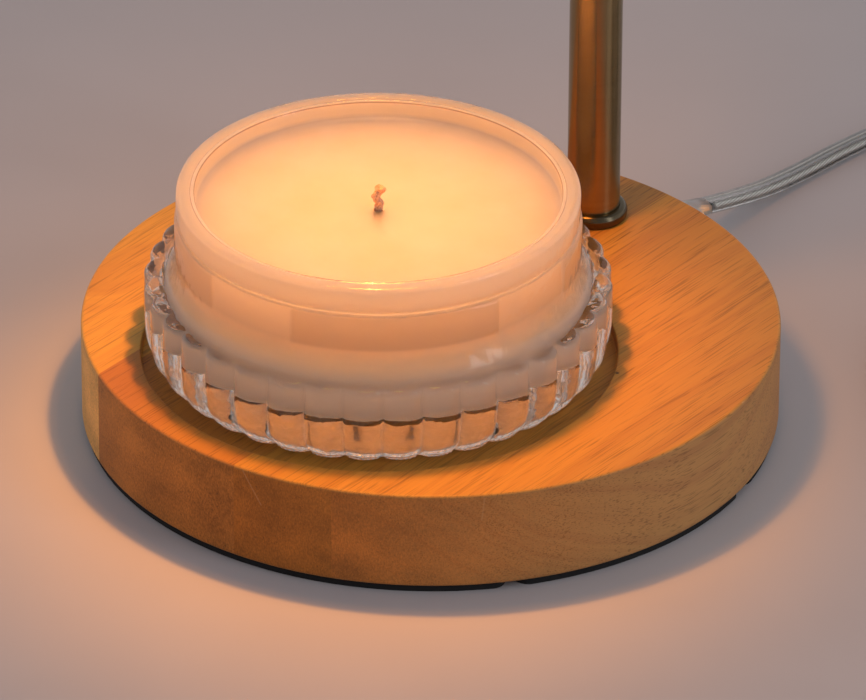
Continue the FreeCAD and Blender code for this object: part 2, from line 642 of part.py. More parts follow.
def make_bulb():
    """A reflector bulb with a two-pin twist base."""
    face = size("light_height")
    rim, neck, wall = size("bulb_radius"), size("bulb_neck"), size("bulb_wall")
    neck_height = face + size("bulb_bowl")
    bowl_low = face + size("lens_thick")
    curve = size("bulb_radius") * 2
    turned("bulb_reflector", [[
        (rim - wall, bowl_low), (rim, bowl_low), (rim, bowl_low + 3, curve), (neck, neck_height),
        (0, neck_height), (0, neck_height - wall), (neck - wall, neck_height - wall, -curve),
        (rim - wall, bowl_low + 3),
    ]], head_place)
    turned("bulb_lens", [[
        (0, face + 1), (rim - 5, face + 1), (rim - 4, face), (rim - 1, face, 1), (rim, face + 1),
        (rim, bowl_low), (0, bowl_low),
    ]], head_place)
    radius = size("capsule_radius")
    top = neck_height - wall
    turned("bulb_capsule", [[
        (0, top - size("capsule_length")), (radius * 0.6, top - size("capsule_length"), radius),
        (radius, top - size("capsule_length") + radius), (radius, top), (0, top),
    ]], head_place)
    base = size("bulb_base_radius")
    turned("bulb_base", [[
        (0, neck_height), (base, neck_height), (base, bulb_base_top - 4), (base - 1.5, bulb_base_top),
        (0, bulb_base_top),
    ]], head_place)
    pins = new_body("bulb_pins", head_place)
    spot = polar(size("pin_circle"), 0)
    pad(pins, [[(*spot, size("pin_radius"))]], size("pin_shank"), bulb_base_top)
    second = polar(size("pin_circle"), 180)
    pad(pins, [[(*second, size("pin_radius"))]], size("pin_shank"), bulb_base_top)
    head_low = bulb_base_top + size("pin_shank")
    for place in (spot, second):
        pad(pins, [[(*place, size("pin_head"))]], size("pin_length") - size("pin_shank"), head_low)


# ---------------------------------------------------------------- wiring
def make_leads():
    """The lower lead goes from the strain relief up the pole; the upper one lies beside it, then
    follows the arch, so that the two pass each other as the pole slides and turns."""
    radius, offset = plain(size("lead_radius")), plain(size("lead_offset"))
    bend = plain(size("lead_bend"))
    y, height = plain(pole_y), plain(size("cord_exit_height"))
    inner_face = plain(relief_seat - size("relief_flange_thick"))
    quarter = math.cos(math.radians(45))
    path = Part.Wire([
        Part.LineSegment(Vector(offset, inner_face, height), Vector(offset, y + bend, height)).toShape(),
        Part.Arc(Vector(offset, y + bend, height),
                 Vector(offset, y + bend - bend * quarter, height + bend - bend * quarter),
                 Vector(offset, y, height + bend)).toShape(),
        Part.LineSegment(Vector(offset, y, height + bend),
                         Vector(offset, y, plain(size("lead_lower_top")))).toShape(),
    ])
    shaped("lead_lower", tube_on(path, Vector(0, -1, 0), radius))

    arch, half = plain(size("arch_height")), plain(size("pole_reach")) / 2
    front, foot, end = plain(head_y), plain(size("lead_upper_foot")), plain(holder_top) - 2
    path = Part.Wire([
        Part.LineSegment(Vector(-offset, y, foot), Vector(-offset, y, arch)).toShape(),
        Part.Arc(Vector(-offset, y, arch), Vector(-offset, y - half, arch + half),
                 Vector(-offset, front, arch)).toShape(),
        Part.LineSegment(Vector(-offset, front, arch), Vector(-offset, front, end)).toShape(),
    ])
    shaped("lead_upper", tube_on(path, Vector(0, 0, 1), radius))


def make_relief():
    """Moulded strain relief: inner flange, shank through the wood, outer collar, and a taper that sags
    on an arc under the cord's weight."""
    height = plain(size("cord_exit_height"))
    back = Vector(0, 1, 0)

    def disc(radius, start, end):
        return Part.makeCylinder(radius, end - start, Vector(0, start, height), back)

    seat, root = plain(relief_seat), plain(size("relief_root"))
    collar = plain(size("base_radius") + size("relief_gap"))
    start = plain(taper_start)
    solid = disc(plain(size("relief_flange")), seat - plain(size("relief_flange_thick")), seat)
    solid = solid.fuse(disc(root, seat, start))
    solid = solid.fuse(disc(plain(size("relief_collar")), collar, start))
    sag, droop = plain(size("relief_sag")), math.radians(plain(size("relief_droop")))

    def on_arc(angle):
        return Vector(0, start + sag * math.sin(angle), height - sag * (1 - math.cos(angle)))

    arc = Part.Wire([Part.Arc(on_arc(0), on_arc(droop / 2), on_arc(droop)).toShape()])
    tip_way = Vector(0, math.cos(droop), -math.sin(droop))
    rings = [
        Part.Wire([Part.makeCircle(root, on_arc(0), back)]),
        Part.Wire([Part.makeCircle(plain(size("relief_tip")), on_arc(droop), tip_way)]),
    ]
    shaped("cord_relief", solid.fuse(arc.makePipeShell(rings, True, False)).removeSplitter())


def make_cords():
    """The cord lies on the table. It leaves the foot, loops round to the dimmer, and from there goes
    to a put-away coil with the plug lying on it."""
    lie = size("cord_radius")
    dimmer_x = size("dimmer_x")
    run, droop = size("cord_first_run"), size("relief_droop")
    far = size("dimmer_y") + size("dimmer_length") / 2 + size("dimmer_boss_length")
    near = size("dimmer_y") - size("dimmer_length") / 2 - size("dimmer_boss_length")
    socket = size("dimmer_cord_height")

    inner, outer = plain(size("coil_inner")), plain(size("coil_outer"))
    high, skin = plain(size("coil_height")), plain(size("tie_thick"))
    middle = Vector(plain(size("coil_x")), plain(size("coil_y")), 0)
    centre, up = Vector(0, 0, 0), Vector(0, 0, 1)
    ring = Part.makeCylinder(outer, high).cut(Part.makeCylinder(inner, high))
    ring = ring.makeFillet(2.4, [edge for edge in ring.Edges if len(edge.Vertexes) == 1])
    span = plain(size("tie_span"))

    def sector(near_radius, far_radius, low, top):
        base = centre + up * low
        block = Part.makeCylinder(far_radius, top - low, base, up, span)
        return block.cut(Part.makeCylinder(near_radius, top - low, base, up, span))

    tie = sector(inner - skin, outer + skin, 0, high + skin)
    tie = tie.cut(sector(inner, outer, skin, high))
    tie.rotate(centre, up, plain(size("tie_angle")))
    coil_place = (size("coil_x"), size("coil_y"), 0)
    shaped("cord_coil", ring.cut(tie), coil_place)
    shaped("coil_tie", tie, coil_place)

    cord("cord_lamp", [
        (0, relief_end_y, relief_end_z),
        (0, relief_end_y + run * cosine(droop), relief_end_z - run * sine(droop)),
        (0.6, 127, lie), (2.4, 151, lie), (9, 182, lie), (32, 210, lie), (64, 224, lie), (98, 225, lie),
        (130, 217, lie), (151, 200, 3.8),
        (dimmer_x, 183, socket), (dimmer_x, far, socket),
    ])
    placed_ring = ring.copy()
    placed_ring.translate(middle)
    cord("cord_wall", [
        (dimmer_x, near, socket), (dimmer_x, 69, socket), (149.1, 50.3, lie), (131.5, 40, lie),
        (111, 40, lie), (90, 52, lie), (68.5, 73, lie), (53.5, 99, lie), (49, 131, lie),
    ], placed_ring)
    plug_height = size("coil_height") + size("plug_thick") / 2
    cord("cord_tail", [
        (60.5, 108, 3.6), (53, 121.1, 5.4), (51.5, 136.1, 7.9), (56.2, 150.5, 10.8), (66.4, 161.7, 13.4),
        (size("plug_x") - 15.05, size("plug_y"), plug_height), (size("plug_x"), size("plug_y"), plug_height),
    ], placed_ring)


# ---------------------------------------------------------------- in-line dimmer
def make_dimmer():
    """Two shells with a board, a turning dial and a timer button. Its length runs along Y."""
    place = (size("dimmer_x"), size("dimmer_y"), 0)
    width, length = size("dimmer_width"), size("dimmer_length")
    wall, split, high = size("dimmer_wall"), size("dimmer_split"), size("dimmer_height")
    outline = rounded(width, length, size("dimmer_corner"))
    cavity = rounded(width - wall * 2, length - wall * 2, size("dimmer_corner") - wall)
    post, screw = size("post_radius"), size("case_screw_radius")
    posts = [[(0, size("post_offset"), post)], [(0, -size("post_offset"), post)]]
    bore = screw + size("fit")
    holes = [[(0, size("post_offset"), bore)], [(0, -size("post_offset"), bore)]]
    recesses = [
        [(0, size("post_offset"), size("case_screw_head") + size("fit"))],
        [(0, -size("post_offset"), size("case_screw_head") + size("fit"))],
    ]

    bottom = new_body("dimmer_bottom", place)
    pad(bottom, [outline], split)
    pocket(bottom, [cavity], split - wall, wall)
    pad(bottom, posts, split - wall, wall)
    pocket(bottom, recesses, 2, 0)
    pocket(bottom, holes, split, 0)
    ledge_x, ledge_y = size("board_width") / 2 - 2, size("board_length") / 2 - 2
    stand = [[(ledge_x * sx, ledge_y * sy, 1.5)] for sx in (1, -1) for sy in (1, -1)]
    pad(bottom, stand, size("board_height") - wall, wall)
    boss = [[(0, size("dimmer_cord_height"), size("dimmer_boss"))]]
    reach = size("dimmer_boss_length") + wall / 2
    pad(bottom, boss, reach, length / 2 - wall / 2, "XZ_Plane")
    pad(bottom, boss, reach, -(length / 2 + size("dimmer_boss_length")), "XZ_Plane")

    top = new_body("dimmer_top", place)
    pad(top, [outline], high - split, split)
    edge_names = [
        f"Edge{number}" for number, edge in enumerate(recomputed(top).Shape.Edges, start=1)
        if min(vertex.Z for vertex in edge.Vertexes) > plain(high) - 0.01
    ]
    block = top.Tip
    fillet = top.newObject("PartDesign::Fillet", "dimmer_top_edge")
    fillet.Base = (block, edge_names)
    fillet.Radius = plain(size("dimmer_edge"))
    bind(fillet, "Radius", size("dimmer_edge"))
    pocket(top, [cavity], high - split - wall, split)
    pad(top, posts, high - split - wall, split)
    pocket(top, holes, high - split - wall, split)
    pocket(top, [[(0, size("spindle_x"), size("spindle_radius") + 0.3)]], wall * 2, high - wall * 1.5)
    pocket(top, [[(0, size("button_x"), size("button_radius") + size("fit"))]], wall * 2, high - wall * 1.5)

    board = new_body("dimmer_board", place)
    outline = [centred(size("board_width"), size("board_length"))]
    pad(board, outline, size("board_thick"), size("board_height"))
    board_top = size("board_height") + size("board_thick")
    pot = new_body("dimmer_pot", (size("dimmer_x"), size("dimmer_y") + size("spindle_x"), 0))
    side = size("pot_side")
    spindle = size("spindle_radius")
    pad(pot, [centred(side, side), [(0, 0, spindle + size("fit"))]], size("pot_height"), board_top)
    switch = new_body("timer_switch", (size("dimmer_x"), size("dimmer_y") + size("button_x"), 0))
    pad(switch, [centred(size("switch_side"), size("switch_side"))], size("switch_height"), board_top)

    screws = new_body("dimmer_screws", place)
    for spot in (size("post_offset"), -size("post_offset")):
        pad(screws, [[(0, spot, size("case_screw_head"))]], 1.6, 0.4)
        pad(screws, [[(0, spot, screw)]], high - wall - 3, 2)


def recomputed(thing):
    document.recompute()
    return thing


def make_dial():
    """The dial turns on the potentiometer's spindle."""
    place = (size("dimmer_x"), size("dimmer_y") + size("spindle_x"), 0)
    low = size("dimmer_height") + size("dial_gap")
    top = low + size("dial_height")
    radius, spindle = size("dial_radius"), size("spindle_radius")
    dial = turned("dimmer_dial", [[
        (spindle + size("fit") / 2, low), (radius, low), (radius - 0.6, top - 1, 1), (radius - 1.6, top),
        (0, top), (0, top - 2), (spindle + size("fit") / 2, top - 2),
    ]], place)
    groove = [[(radius, 0, size("dial_groove"))]]
    around(dial, pocket(dial, groove, size("dial_height") + 1, low - 0.5), size("dial_grooves"))
    pointer = [rectangle(-0.4, radius * 0.45, 0.4, radius - 2.2)]
    pocket(dial, pointer, 1, top - 0.5)
    board_top = size("board_height") + size("board_thick")
    turned("dimmer_spindle", [rectangle(0, board_top + 0.3, spindle, top - 2)], place)


def make_button():
    place = (size("dimmer_x"), size("dimmer_y") + size("button_x"), 0)
    under = size("dimmer_height") - size("dimmer_wall") - size("fit") * 2
    top = size("dimmer_height") + size("button_proud")
    radius = size("button_radius")
    switch_top = size("board_height") + size("board_thick") + size("switch_height")
    tip = switch_top + size("button_travel") + 0.15
    turned("timer_button", [[
        (0, tip), (1.5, tip), (1.5, under - 1), (size("button_flange"), under - 1),
        (size("button_flange"), under), (radius, under), (radius, top - 0.5, 0.5),
        (radius - 0.5, top), (0, top),
    ]], place)


def make_plug():
    """Flat two-blade plug with a tapered tail, lying on the coil and pointing along +X."""
    height = size("coil_height") + size("plug_thick") / 2
    place = (size("plug_x"), size("plug_y"), height)
    tail, length = size("plug_tail"), size("plug_length")
    body = new_body("plug_body", place)
    pad(body, [rounded(size("plug_width"), size("plug_thick"), size("plug_thick") * 0.36)],
        length, tail, "YZ_Plane")
    taper = size("cord_radius") + 0.9
    sketch = draw(body, "XY_Plane", [[
        (0, 0), (0, size("cord_radius") + 0.3), (tail, taper), (tail + 3, taper + 1), (tail + 3, 0),
    ]])
    feature(body, "Revolution", sketch, ReferenceAxis=(sketch, ["H_Axis"]), Angle=360.0)
    face = tail + length
    blade = new_body("plug_blades", place)
    half_thick, half_width = size("blade_thick") / 2, size("blade_width") / 2
    for side in (0.5, -0.5):
        y = size("blade_spacing") * side
        blade_outline = rectangle(y - half_thick, -half_width, y + half_thick, half_width)
        pad(blade, [blade_outline], size("blade_length"), face, "YZ_Plane")


# ---------------------------------------------------------------- candle
def scallop(outer, depth, height):
    """A closed wire of rounded ribs: each an arc from valley to valley through its crest."""
    ribs = int(round(plain(size("jar_ribs"))))
    pitch = 2 * math.pi / ribs

    def at(radius, angle):
        return Vector(radius * math.cos(angle), radius * math.sin(angle), height)

    return Part.Wire([
        Part.Arc(at(outer - depth, (rib - 0.5) * pitch), at(outer, rib * pitch),
                 at(outer - depth, (rib + 0.5) * pitch)).toShape()
        for rib in range(ribs)
    ])


def make_jar():
    """Ribbed glass with a ledge, a curved shoulder, a neck with raised lid lugs and a rim band."""
    foot, body = plain(size("jar_foot")), plain(size("jar_body"))
    depth, ledge = plain(size("rib_depth")), plain(size("ledge_height"))
    levels = [(foot, 0), (foot + (body - foot) * 0.55, 2.2), (body - 0.5, 7), (body, 12), (body, ledge)]
    ribs = Part.makeLoft([scallop(radius, depth, height) for radius, height in levels], True, True)

    neck, shoulder = plain(size("neck_radius")), plain(size("shoulder_height"))
    high, rim = plain(size("jar_height")), plain(size("rim_radius"))
    band, groove = high - plain(size("rim_height")), plain(size("rim_groove"))
    inside, bore = plain(size("rim_inner")), plain(size("jar_bore"))
    floor, bend = plain(size("jar_floor")), plain(size("jar_floor_round"))
    corner = bend * (1 - math.cos(math.radians(45)))
    root = neck + 2.4

    def at(radius, height):
        return Vector(radius, 0, height)

    def lines(*points):
        return [Part.LineSegment(a, b).toShape() for a, b in zip(points, points[1:])]

    edges = lines(at(0, 0.5), at(foot - depth - 1, 0.5), at(root, 3), at(root, ledge))
    edges.append(Part.Arc(at(root, ledge), at(neck + 0.7, (ledge + shoulder) / 2 + 0.9),
                          at(neck, shoulder)).toShape())
    edges += lines(at(neck, shoulder), at(neck, band - groove), at(rim - groove, band - groove),
                   at(rim - groove, band), at(rim, band), at(rim, high - 0.8))
    edges.append(Part.Arc(at(rim, high - 0.8), at(rim - 0.24, high - 0.24), at(rim - 0.8, high)).toShape())
    edges += lines(at(rim - 0.8, high), at(0, high), at(0, 0.5))
    solid = ribs.fuse(Part.Face(Part.Wire(edges)).revolve(Vector(0, 0, 0), Vector(0, 0, 1), 360))

    edges = lines(at(0, floor), at(bore - bend, floor))
    edges.append(Part.Arc(at(bore - bend, floor), at(bore - corner, floor + corner),
                          at(bore, floor + bend)).toShape())
    edges += lines(at(bore, floor + bend), at(bore, high - 1), at(inside, high), at(inside, high + 1),
                   at(0, high + 1), at(0, floor))
    cavity = Part.Face(Part.Wire(edges)).revolve(Vector(0, 0, 0), Vector(0, 0, 1), 360)
    punt = Part.makeCone(plain(size("punt_radius")), plain(size("punt_radius")) - 2,
                         plain(size("punt_depth")))

    lug_radius, lug_low = neck + plain(size("lug_raise")), band - groove - plain(size("lug_height"))
    span = plain(size("lug_span"))
    for turn_of in range(4):
        lug = Part.makeCylinder(lug_radius, plain(size("lug_height")) - 0.2, Vector(0, 0, lug_low),
                                Vector(0, 0, 1), span)
        lug = lug.cut(Part.makeCylinder(neck - 0.5, high, Vector(0, 0, 0)))
        lug.rotate(Vector(0, 0, 0), Vector(0, 0, 1), plain(size("lug_first")) + 90 * turn_of)
        solid = solid.fuse(lug)
    shaped("candle_jar", solid.cut(cavity).cut(punt).removeSplitter(), jar_place)


def make_wax():
    """Wax that fills the jar, with its wick and the wick's steel tab on the jar's floor."""
    floor, bend = size("jar_floor") + size("wax_clear"), size("jar_floor_round")
    radius = size("jar_bore") - size("wax_clear")
    top = size("jar_height") - size("wax_down")
    clear, wick = size("wax_clear"), size("wick_radius")
    tab_top = floor + size("tab_thick")
    neck_top = tab_top + size("tab_neck_height")
    turned("candle_wax", [[
        (size("tab_radius") + clear, floor), (radius - bend, floor, bend), (radius, floor + bend),
        (radius, top), (wick + clear, top), (wick + clear, neck_top + clear),
        (size("tab_neck") + clear, neck_top + clear), (size("tab_neck") + clear, tab_top + clear),
        (size("tab_radius") + clear, tab_top + clear),
    ]], jar_place)
    turned("wick_tab", [[
        (wick + clear, floor), (size("tab_radius"), floor), (size("tab_radius"), tab_top),
        (size("tab_neck"), tab_top), (size("tab_neck"), neck_top), (wick + clear, neck_top),
    ]], jar_place)
    turned("candle_wick", [[
        (0, floor), (wick, floor), (wick, top + size("wick_up") - 0.5, 0.5),
        (wick - 0.5, top + size("wick_up")),
        (0, top + size("wick_up")),
    ]], jar_place)


make_base_disc()
make_foot_strips()
make_ballast()
make_pole()
make_thumb_screw()
make_arm()
make_head()
make_bulb()
make_leads()
make_relief()
make_cords()
make_dimmer()
make_dial()
make_button()
make_plug()
make_jar()
make_wax()

# ---------------------------------------------------------------- check everything, then write it
document.recompute()
faults = [thing.Name for thing in document.Objects if "Invalid" in thing.State or "Error" in thing.State]
for thing in sub_parts:
    if thing.Shape.isNull() or not thing.Shape.isValid() or thing.Shape.Volume <= 0:
        faults.append(thing.Label)
if faults:
    raise RuntimeError(f"not built: {faults}")
os.makedirs("parts", exist_ok=True)
for thing in sub_parts:
    thing.Shape.exportStep(f"parts/{thing.Label}.step")
    print(f"{thing.Label}: {len(thing.Shape.Solids)} solid(s), {thing.Shape.Volume:.0f} mm3")
print(f"{len(sub_parts)} nodes")
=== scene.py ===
import json
import math

import bmesh
import bpy
import numpy
from mathutils import Matrix, Quaternion, Vector

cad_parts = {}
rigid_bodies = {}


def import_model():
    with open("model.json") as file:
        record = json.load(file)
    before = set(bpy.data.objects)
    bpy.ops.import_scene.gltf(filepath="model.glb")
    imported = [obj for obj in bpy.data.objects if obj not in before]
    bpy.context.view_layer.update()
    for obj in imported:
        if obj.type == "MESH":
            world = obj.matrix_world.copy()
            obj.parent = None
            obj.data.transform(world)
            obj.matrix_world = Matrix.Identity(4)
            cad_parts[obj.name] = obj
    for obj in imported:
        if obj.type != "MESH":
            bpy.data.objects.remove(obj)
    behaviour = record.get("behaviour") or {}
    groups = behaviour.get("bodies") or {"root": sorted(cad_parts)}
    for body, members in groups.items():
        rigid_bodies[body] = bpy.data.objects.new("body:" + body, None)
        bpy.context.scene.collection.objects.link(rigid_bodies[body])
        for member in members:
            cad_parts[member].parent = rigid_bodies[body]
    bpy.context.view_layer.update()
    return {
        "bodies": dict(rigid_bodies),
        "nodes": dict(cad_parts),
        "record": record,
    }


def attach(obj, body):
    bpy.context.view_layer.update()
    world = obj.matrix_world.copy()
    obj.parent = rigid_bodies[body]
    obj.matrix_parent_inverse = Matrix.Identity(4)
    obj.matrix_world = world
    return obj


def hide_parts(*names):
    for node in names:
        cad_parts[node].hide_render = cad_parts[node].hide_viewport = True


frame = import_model()

mm = 0.001
weldReach = 1e-7  # in metres: points nearer than this become one
slimEdge = 1e-8  # and edges shorter than this go
scene = bpy.context.scene


# shared helpers

def linear(tone):  # each sRGB channel c becomes c/12.92, or ((c + 0.055)/1.055)^2.4; a number stays a grey
    if isinstance(tone, (int, float)):
        return (tone, tone, tone, 1)
    if not isinstance(tone, str):
        return tone
    channels = [int(tone[i:i + 2], 16) / 255 for i in (1, 3, 5)]
    return tuple(c / 12.92 if c <= 0.04045 else ((c + 0.055) / 1.055) ** 2.4 for c in channels) + (1,)


def addNode(tree, kind, inputs=None, stops=None, **settings):
    # one shader node: sockets and nodes given as inputs are linked, other inputs are set, stops fill its ramp
    node = tree.nodes.new("ShaderNode" + kind)
    for name, value in settings.items():
        setattr(node, name, value)
    for name, value in (inputs or {}).items():
        if isinstance(value, bpy.types.Node):
            value = value.outputs[0]
        if isinstance(value, bpy.types.NodeSocket):
            tree.links.new(value, node.inputs[name])
        else:
            node.inputs[name].default_value = linear(value) if isinstance(value, str) else value
    for number, (position, tone) in enumerate(stops or []):
        elements = node.color_ramp.elements
        element = elements[number] if number < 2 else elements.new(position)
        element.position, element.color = position, linear(tone)
    return node


def startMaterial(name):  # an empty tree, and the object coordinates in millimetres
    material = bpy.data.materials.new(name)
    material.use_nodes = True
    tree = material.node_tree
    tree.nodes.clear()
    spot = addNode(tree, "TexCoord")
    place = addNode(tree, "VectorMath", {0: spot.outputs["Object"], "Scale": 1 / mm}, operation="SCALE")
    return material, tree, place


def closeMaterial(material, tree, surface):  # a Principled surface from the inputs given
    shader = addNode(tree, "BsdfPrincipled", surface)
    addNode(tree, "OutputMaterial", {"Surface": shader})
    return material


def stretched(tree, place, across, along, up):  # the place divided by the grain size in mm on each axis
    return addNode(tree, "VectorMath", {0: place, 1: (1 / across, 1 / along, 1 / up)}, operation="MULTIPLY")


def gridMesh(name, grid, wrapRows=False, wrapColumns=True, around=1.0):
    # quads between neighbouring rows and columns; the UV runs in metres, around by column and along by row
    rows, columns = grid.shape[:2]
    r = numpy.arange(rows if wrapRows else rows - 1)[:, None]
    c = numpy.arange(columns if wrapColumns else columns - 1)[None, :]
    nextRow, nextColumn = (r + 1) % rows, (c + 1) % columns
    faces = numpy.stack([r * columns + c, r * columns + nextColumn, nextRow * columns + nextColumn,
                         nextRow * columns + c], -1).reshape(-1, 4)
    mesh = bpy.data.meshes.new(name)
    mesh.from_pydata(grid.reshape(-1, 3).tolist(), [], faces.tolist())
    steps = numpy.linalg.norm(numpy.diff(grid[:, 0], axis=0, append=grid[:1, 0]), axis=1)
    along = numpy.concatenate([[0], numpy.cumsum(steps)])
    r, c = numpy.broadcast_arrays(r, c)
    corners = numpy.stack([numpy.stack([c, c + 1, c + 1, c], -1) * around / columns,
                           along[numpy.stack([r, r, r + 1, r + 1], -1)]], -1)
    layer = mesh.uv_layers.new(name="lengths")
    layer.data.foreach_set("uv", corners.astype(numpy.float32).ravel())
    return mesh


def welded(mesh):  # points in one place become one, which closes rings of no radius
    work = bmesh.new()
    work.from_mesh(mesh)
    bmesh.ops.remove_doubles(work, verts=work.verts, dist=weldReach)
    bmesh.ops.dissolve_degenerate(work, edges=work.edges, dist=slimEdge)
    work.to_mesh(mesh)
    work.free()
    return mesh


def joined(name, parts):  # the parts in one mesh, each closed where its end ring is a point
    work = bmesh.new()
    for part in parts:
        work.from_mesh(part)
    bmesh.ops.remove_doubles(work, verts=work.verts, dist=weldReach)
    mesh = bpy.data.meshes.new(name)
    work.to_mesh(mesh)
    work.free()
    return mesh


def ringPoints(radius, count):  # points evenly round a circle
    turn = numpy.linspace(0, 2 * math.pi, count, endpoint=False)
    return radius * numpy.stack([numpy.cos(turn), numpy.sin(turn)], -1)


def roundProfile(corners, closed=True, steps=5, most=0.48, holdShare=0.4):
    # each corner (radius, height, rounding) becomes an arc tangent to its two runs, held by a point each side;
    # the arc takes at most that share of a run, and the holding point stands off by that share of the cut
    points, count = [], len(corners)
    for number, corner in enumerate(corners):
        here, rounding = numpy.array(corner[:2], float), corner[2] if len(corner) > 2 else 0
        if not rounding or (not closed and number in (0, count - 1)):
            points.append(here)
            continue
        before = numpy.array(corners[number - 1][:2], float) - here
        after = numpy.array(corners[(number + 1) % count][:2], float) - here
        reach = min(numpy.linalg.norm(before), numpy.linalg.norm(after)) * most
        before, after = before / numpy.linalg.norm(before), after / numpy.linalg.norm(after)
        half = math.acos(float(numpy.clip(before @ after, -1, 1))) / 2
        cut = min(rounding / math.tan(half), reach)
        middle = (before + after) / numpy.linalg.norm(before + after)
        centre = here + middle * cut / math.cos(half)
        start, end = here + before * cut - centre, here + after * cut - centre
        turn = math.atan2(start[0] * end[1] - start[1] * end[0], start @ end)
        hold = min(cut * holdShare, reach - cut + 1e-6)
        points.append(centre + start + before * hold)
        for share in numpy.linspace(0, 1, steps + 1):
            angle = turn * share
            points.append(centre + numpy.array([start[0] * math.cos(angle) - start[1] * math.sin(angle),
                                                start[0] * math.sin(angle) + start[1] * math.cos(angle)]))
        points.append(centre + end + after * hold)
    return numpy.array(points)


def turnedMesh(name, profile, columns, centre=(0, 0), closed=True, shape=None):
    # the profile of (radius, height) goes round the upright axis at centre, and shape changes it by the angle
    angles = numpy.linspace(0, 2 * math.pi, columns, endpoint=False)[None, :]
    radius, height = profile[:, :1] + 0 * angles, profile[:, 1:] + 0 * angles
    if shape:
        radius, height = shape(radius, height, angles)
    grid = numpy.stack([centre[0] + radius * numpy.cos(angles), centre[1] + radius * numpy.sin(angles),
                        height], -1)
    around = 2 * math.pi * float(profile[:, 0].max()) * mm
    return welded(gridMesh(name, grid * mm, wrapRows=closed, around=around))


def placePiece(name, mesh, body, slotName, material, *replaced, sharp=40):
    # one object at the origin, smooth but for edges sharper than the angle, riding on its body
    piece = bpy.data.objects.new(name, mesh)
    scene.collection.objects.link(piece)
    for layer in material if isinstance(material, list) else [material]:
        mesh.materials.append(layer)
    mesh.polygons.foreach_set("use_smooth", [True] * len(mesh.polygons))
    mesh.set_sharp_from_angle(angle=math.radians(sharp))
    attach(piece, body)
    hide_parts(*replaced)
    return piece


def cutAway(piece, cutter):  # the piece loses the cutter's solid, and the cutter goes
    scene.collection.objects.link(cutter)
    cut = piece.modifiers.new("cut", "BOOLEAN")
    cut.object, cut.operation, cut.solver = cutter, "DIFFERENCE", "EXACT"
    bpy.context.view_layer.update()
    result = bpy.data.meshes.new_from_object(piece.evaluated_get(bpy.context.evaluated_depsgraph_get()))
    piece.modifiers.clear()
    piece.data = result
    bpy.data.objects.remove(cutter)


# camera

viewSpec = {"lookAt": (9.415, -11.08, 23.5), "distance": 2084.3, "azimuth": 38.4, "elevation": 30.31,
            "roll": 0.327, "lens": 406.7, "clip": (0.1, 50)}
azimuth, elevation = math.radians(viewSpec["azimuth"]), math.radians(viewSpec["elevation"])
level = math.cos(elevation)
back = Vector((math.sin(azimuth) * level, -math.cos(azimuth) * level, math.sin(elevation)))
camera = bpy.data.objects.new("camera", bpy.data.cameras.new("camera"))
scene.collection.objects.link(camera)
camera.data.lens = viewSpec["lens"]
camera.data.clip_start, camera.data.clip_end = viewSpec["clip"]
camera.location = (Vector(viewSpec["lookAt"]) + back * viewSpec["distance"]) * mm
camera.rotation_mode = "QUATERNION"
turnedUp = Quaternion((0, 0, 1), math.radians(viewSpec["roll"]))
camera.rotation_quaternion = back.to_track_quat("Z", "Y") @ turnedUp
scene.camera = camera


# materials of the cord

def clearVinyl(name, rough):  # clear soft vinyl, strands seen inside, a long white glint on its back
    material, tree, place = startMaterial(name)
    ripple = addNode(tree, "TexNoise", {"Vector": place, "Scale": 0.35, "Detail": 2})
    rough = addNode(tree, "MapRange", {0: ripple, 3: rough, 4: rough + 0.1})
    bump = addNode(tree, "Bump", {"Height": ripple, "Strength": 0.25, "Distance": 0.0004})
    return closeMaterial(material, tree, {
        "Base Color": "#E9ECEA", "Transmission Weight": 1.0, "IOR": 1.5, "Roughness": rough.outputs[0],
        "Normal": bump})


def tinnedStrand(spec):  # bright tinned copper wires, twisted, so the core glitters in slanting lines
    material, tree = startMaterial("tinned_copper_strand")[:2]
    spot = addNode(tree, "TexCoord")
    lay = addNode(tree, "VectorMath", {0: spot.outputs["UV"], 1: spec["wiresPerMetre"]}, operation="MULTIPLY")
    parts = addNode(tree, "SeparateXYZ", {0: lay})
    phase = addNode(tree, "Math", {0: parts.outputs[0], 1: parts.outputs[1]}, operation="ADD")
    angle = addNode(tree, "Math", {0: phase, 1: 6.283}, operation="MULTIPLY")
    wire = addNode(tree, "Math", {0: angle}, operation="SINE")
    height = addNode(tree, "MapRange", {0: wire, 1: -1.0, 2: 1.0})
    # the tone follows the wire's height: painted shade in the grooves between wires, painted highlight on their
    # crowns
    shade = addNode(tree, "ValToRGB", {0: height},
                    stops=[(0, "#B5B0A8"), (0.5, "#EDEAE4"), (1, "#FFFDFA")])
    bump = addNode(tree, "Bump", {"Height": wire, "Strength": 0.35, "Distance": 0.00005})
    return closeMaterial(material, tree, {
        "Base Color": shade, "Metallic": 1.0, "Roughness": 0.3, "Normal": bump})


# cords

cordSpec = {
    "halfWidth": 2.6, "halfThick": 1.55, "waist": 0.3, "waistWidth": 0.8, "lobe": 0.8, "square": 3.2,
    "coreOffset": 1.22, "coreRadius": 0.44, "wiresPerMetre": (1555, 520, 0),  # round the strand and along it
    "around": (0.02, 0.0045),  # metres of UV round the jacket and round a strand
    "lie": 1.75, "coilCentre": (92, 138), "outerTurn": 43.4, "innerTurn": 29.8, "turns": 1756, "perTurn": 12,
    "coilPull": 0.9665,  # the smooth line runs this far inside its points
    "lowLayer": 1.75, "highLayer": 5.9, "climbFrom": 0.46, "climbFor": 0.08,
}
lie = cordSpec["lie"]
lampRoute = [(0, 97.21, 7.84), (0, 111.22, 4.09), (0.6, 127, lie), (2.4, 151, lie), (9, 182, lie),
             (32, 210, lie), (64, 224, lie), (98, 225, lie), (130, 217, lie), (151, 200, 2.6), (159, 183, 6),
             (159, 166, 6)]
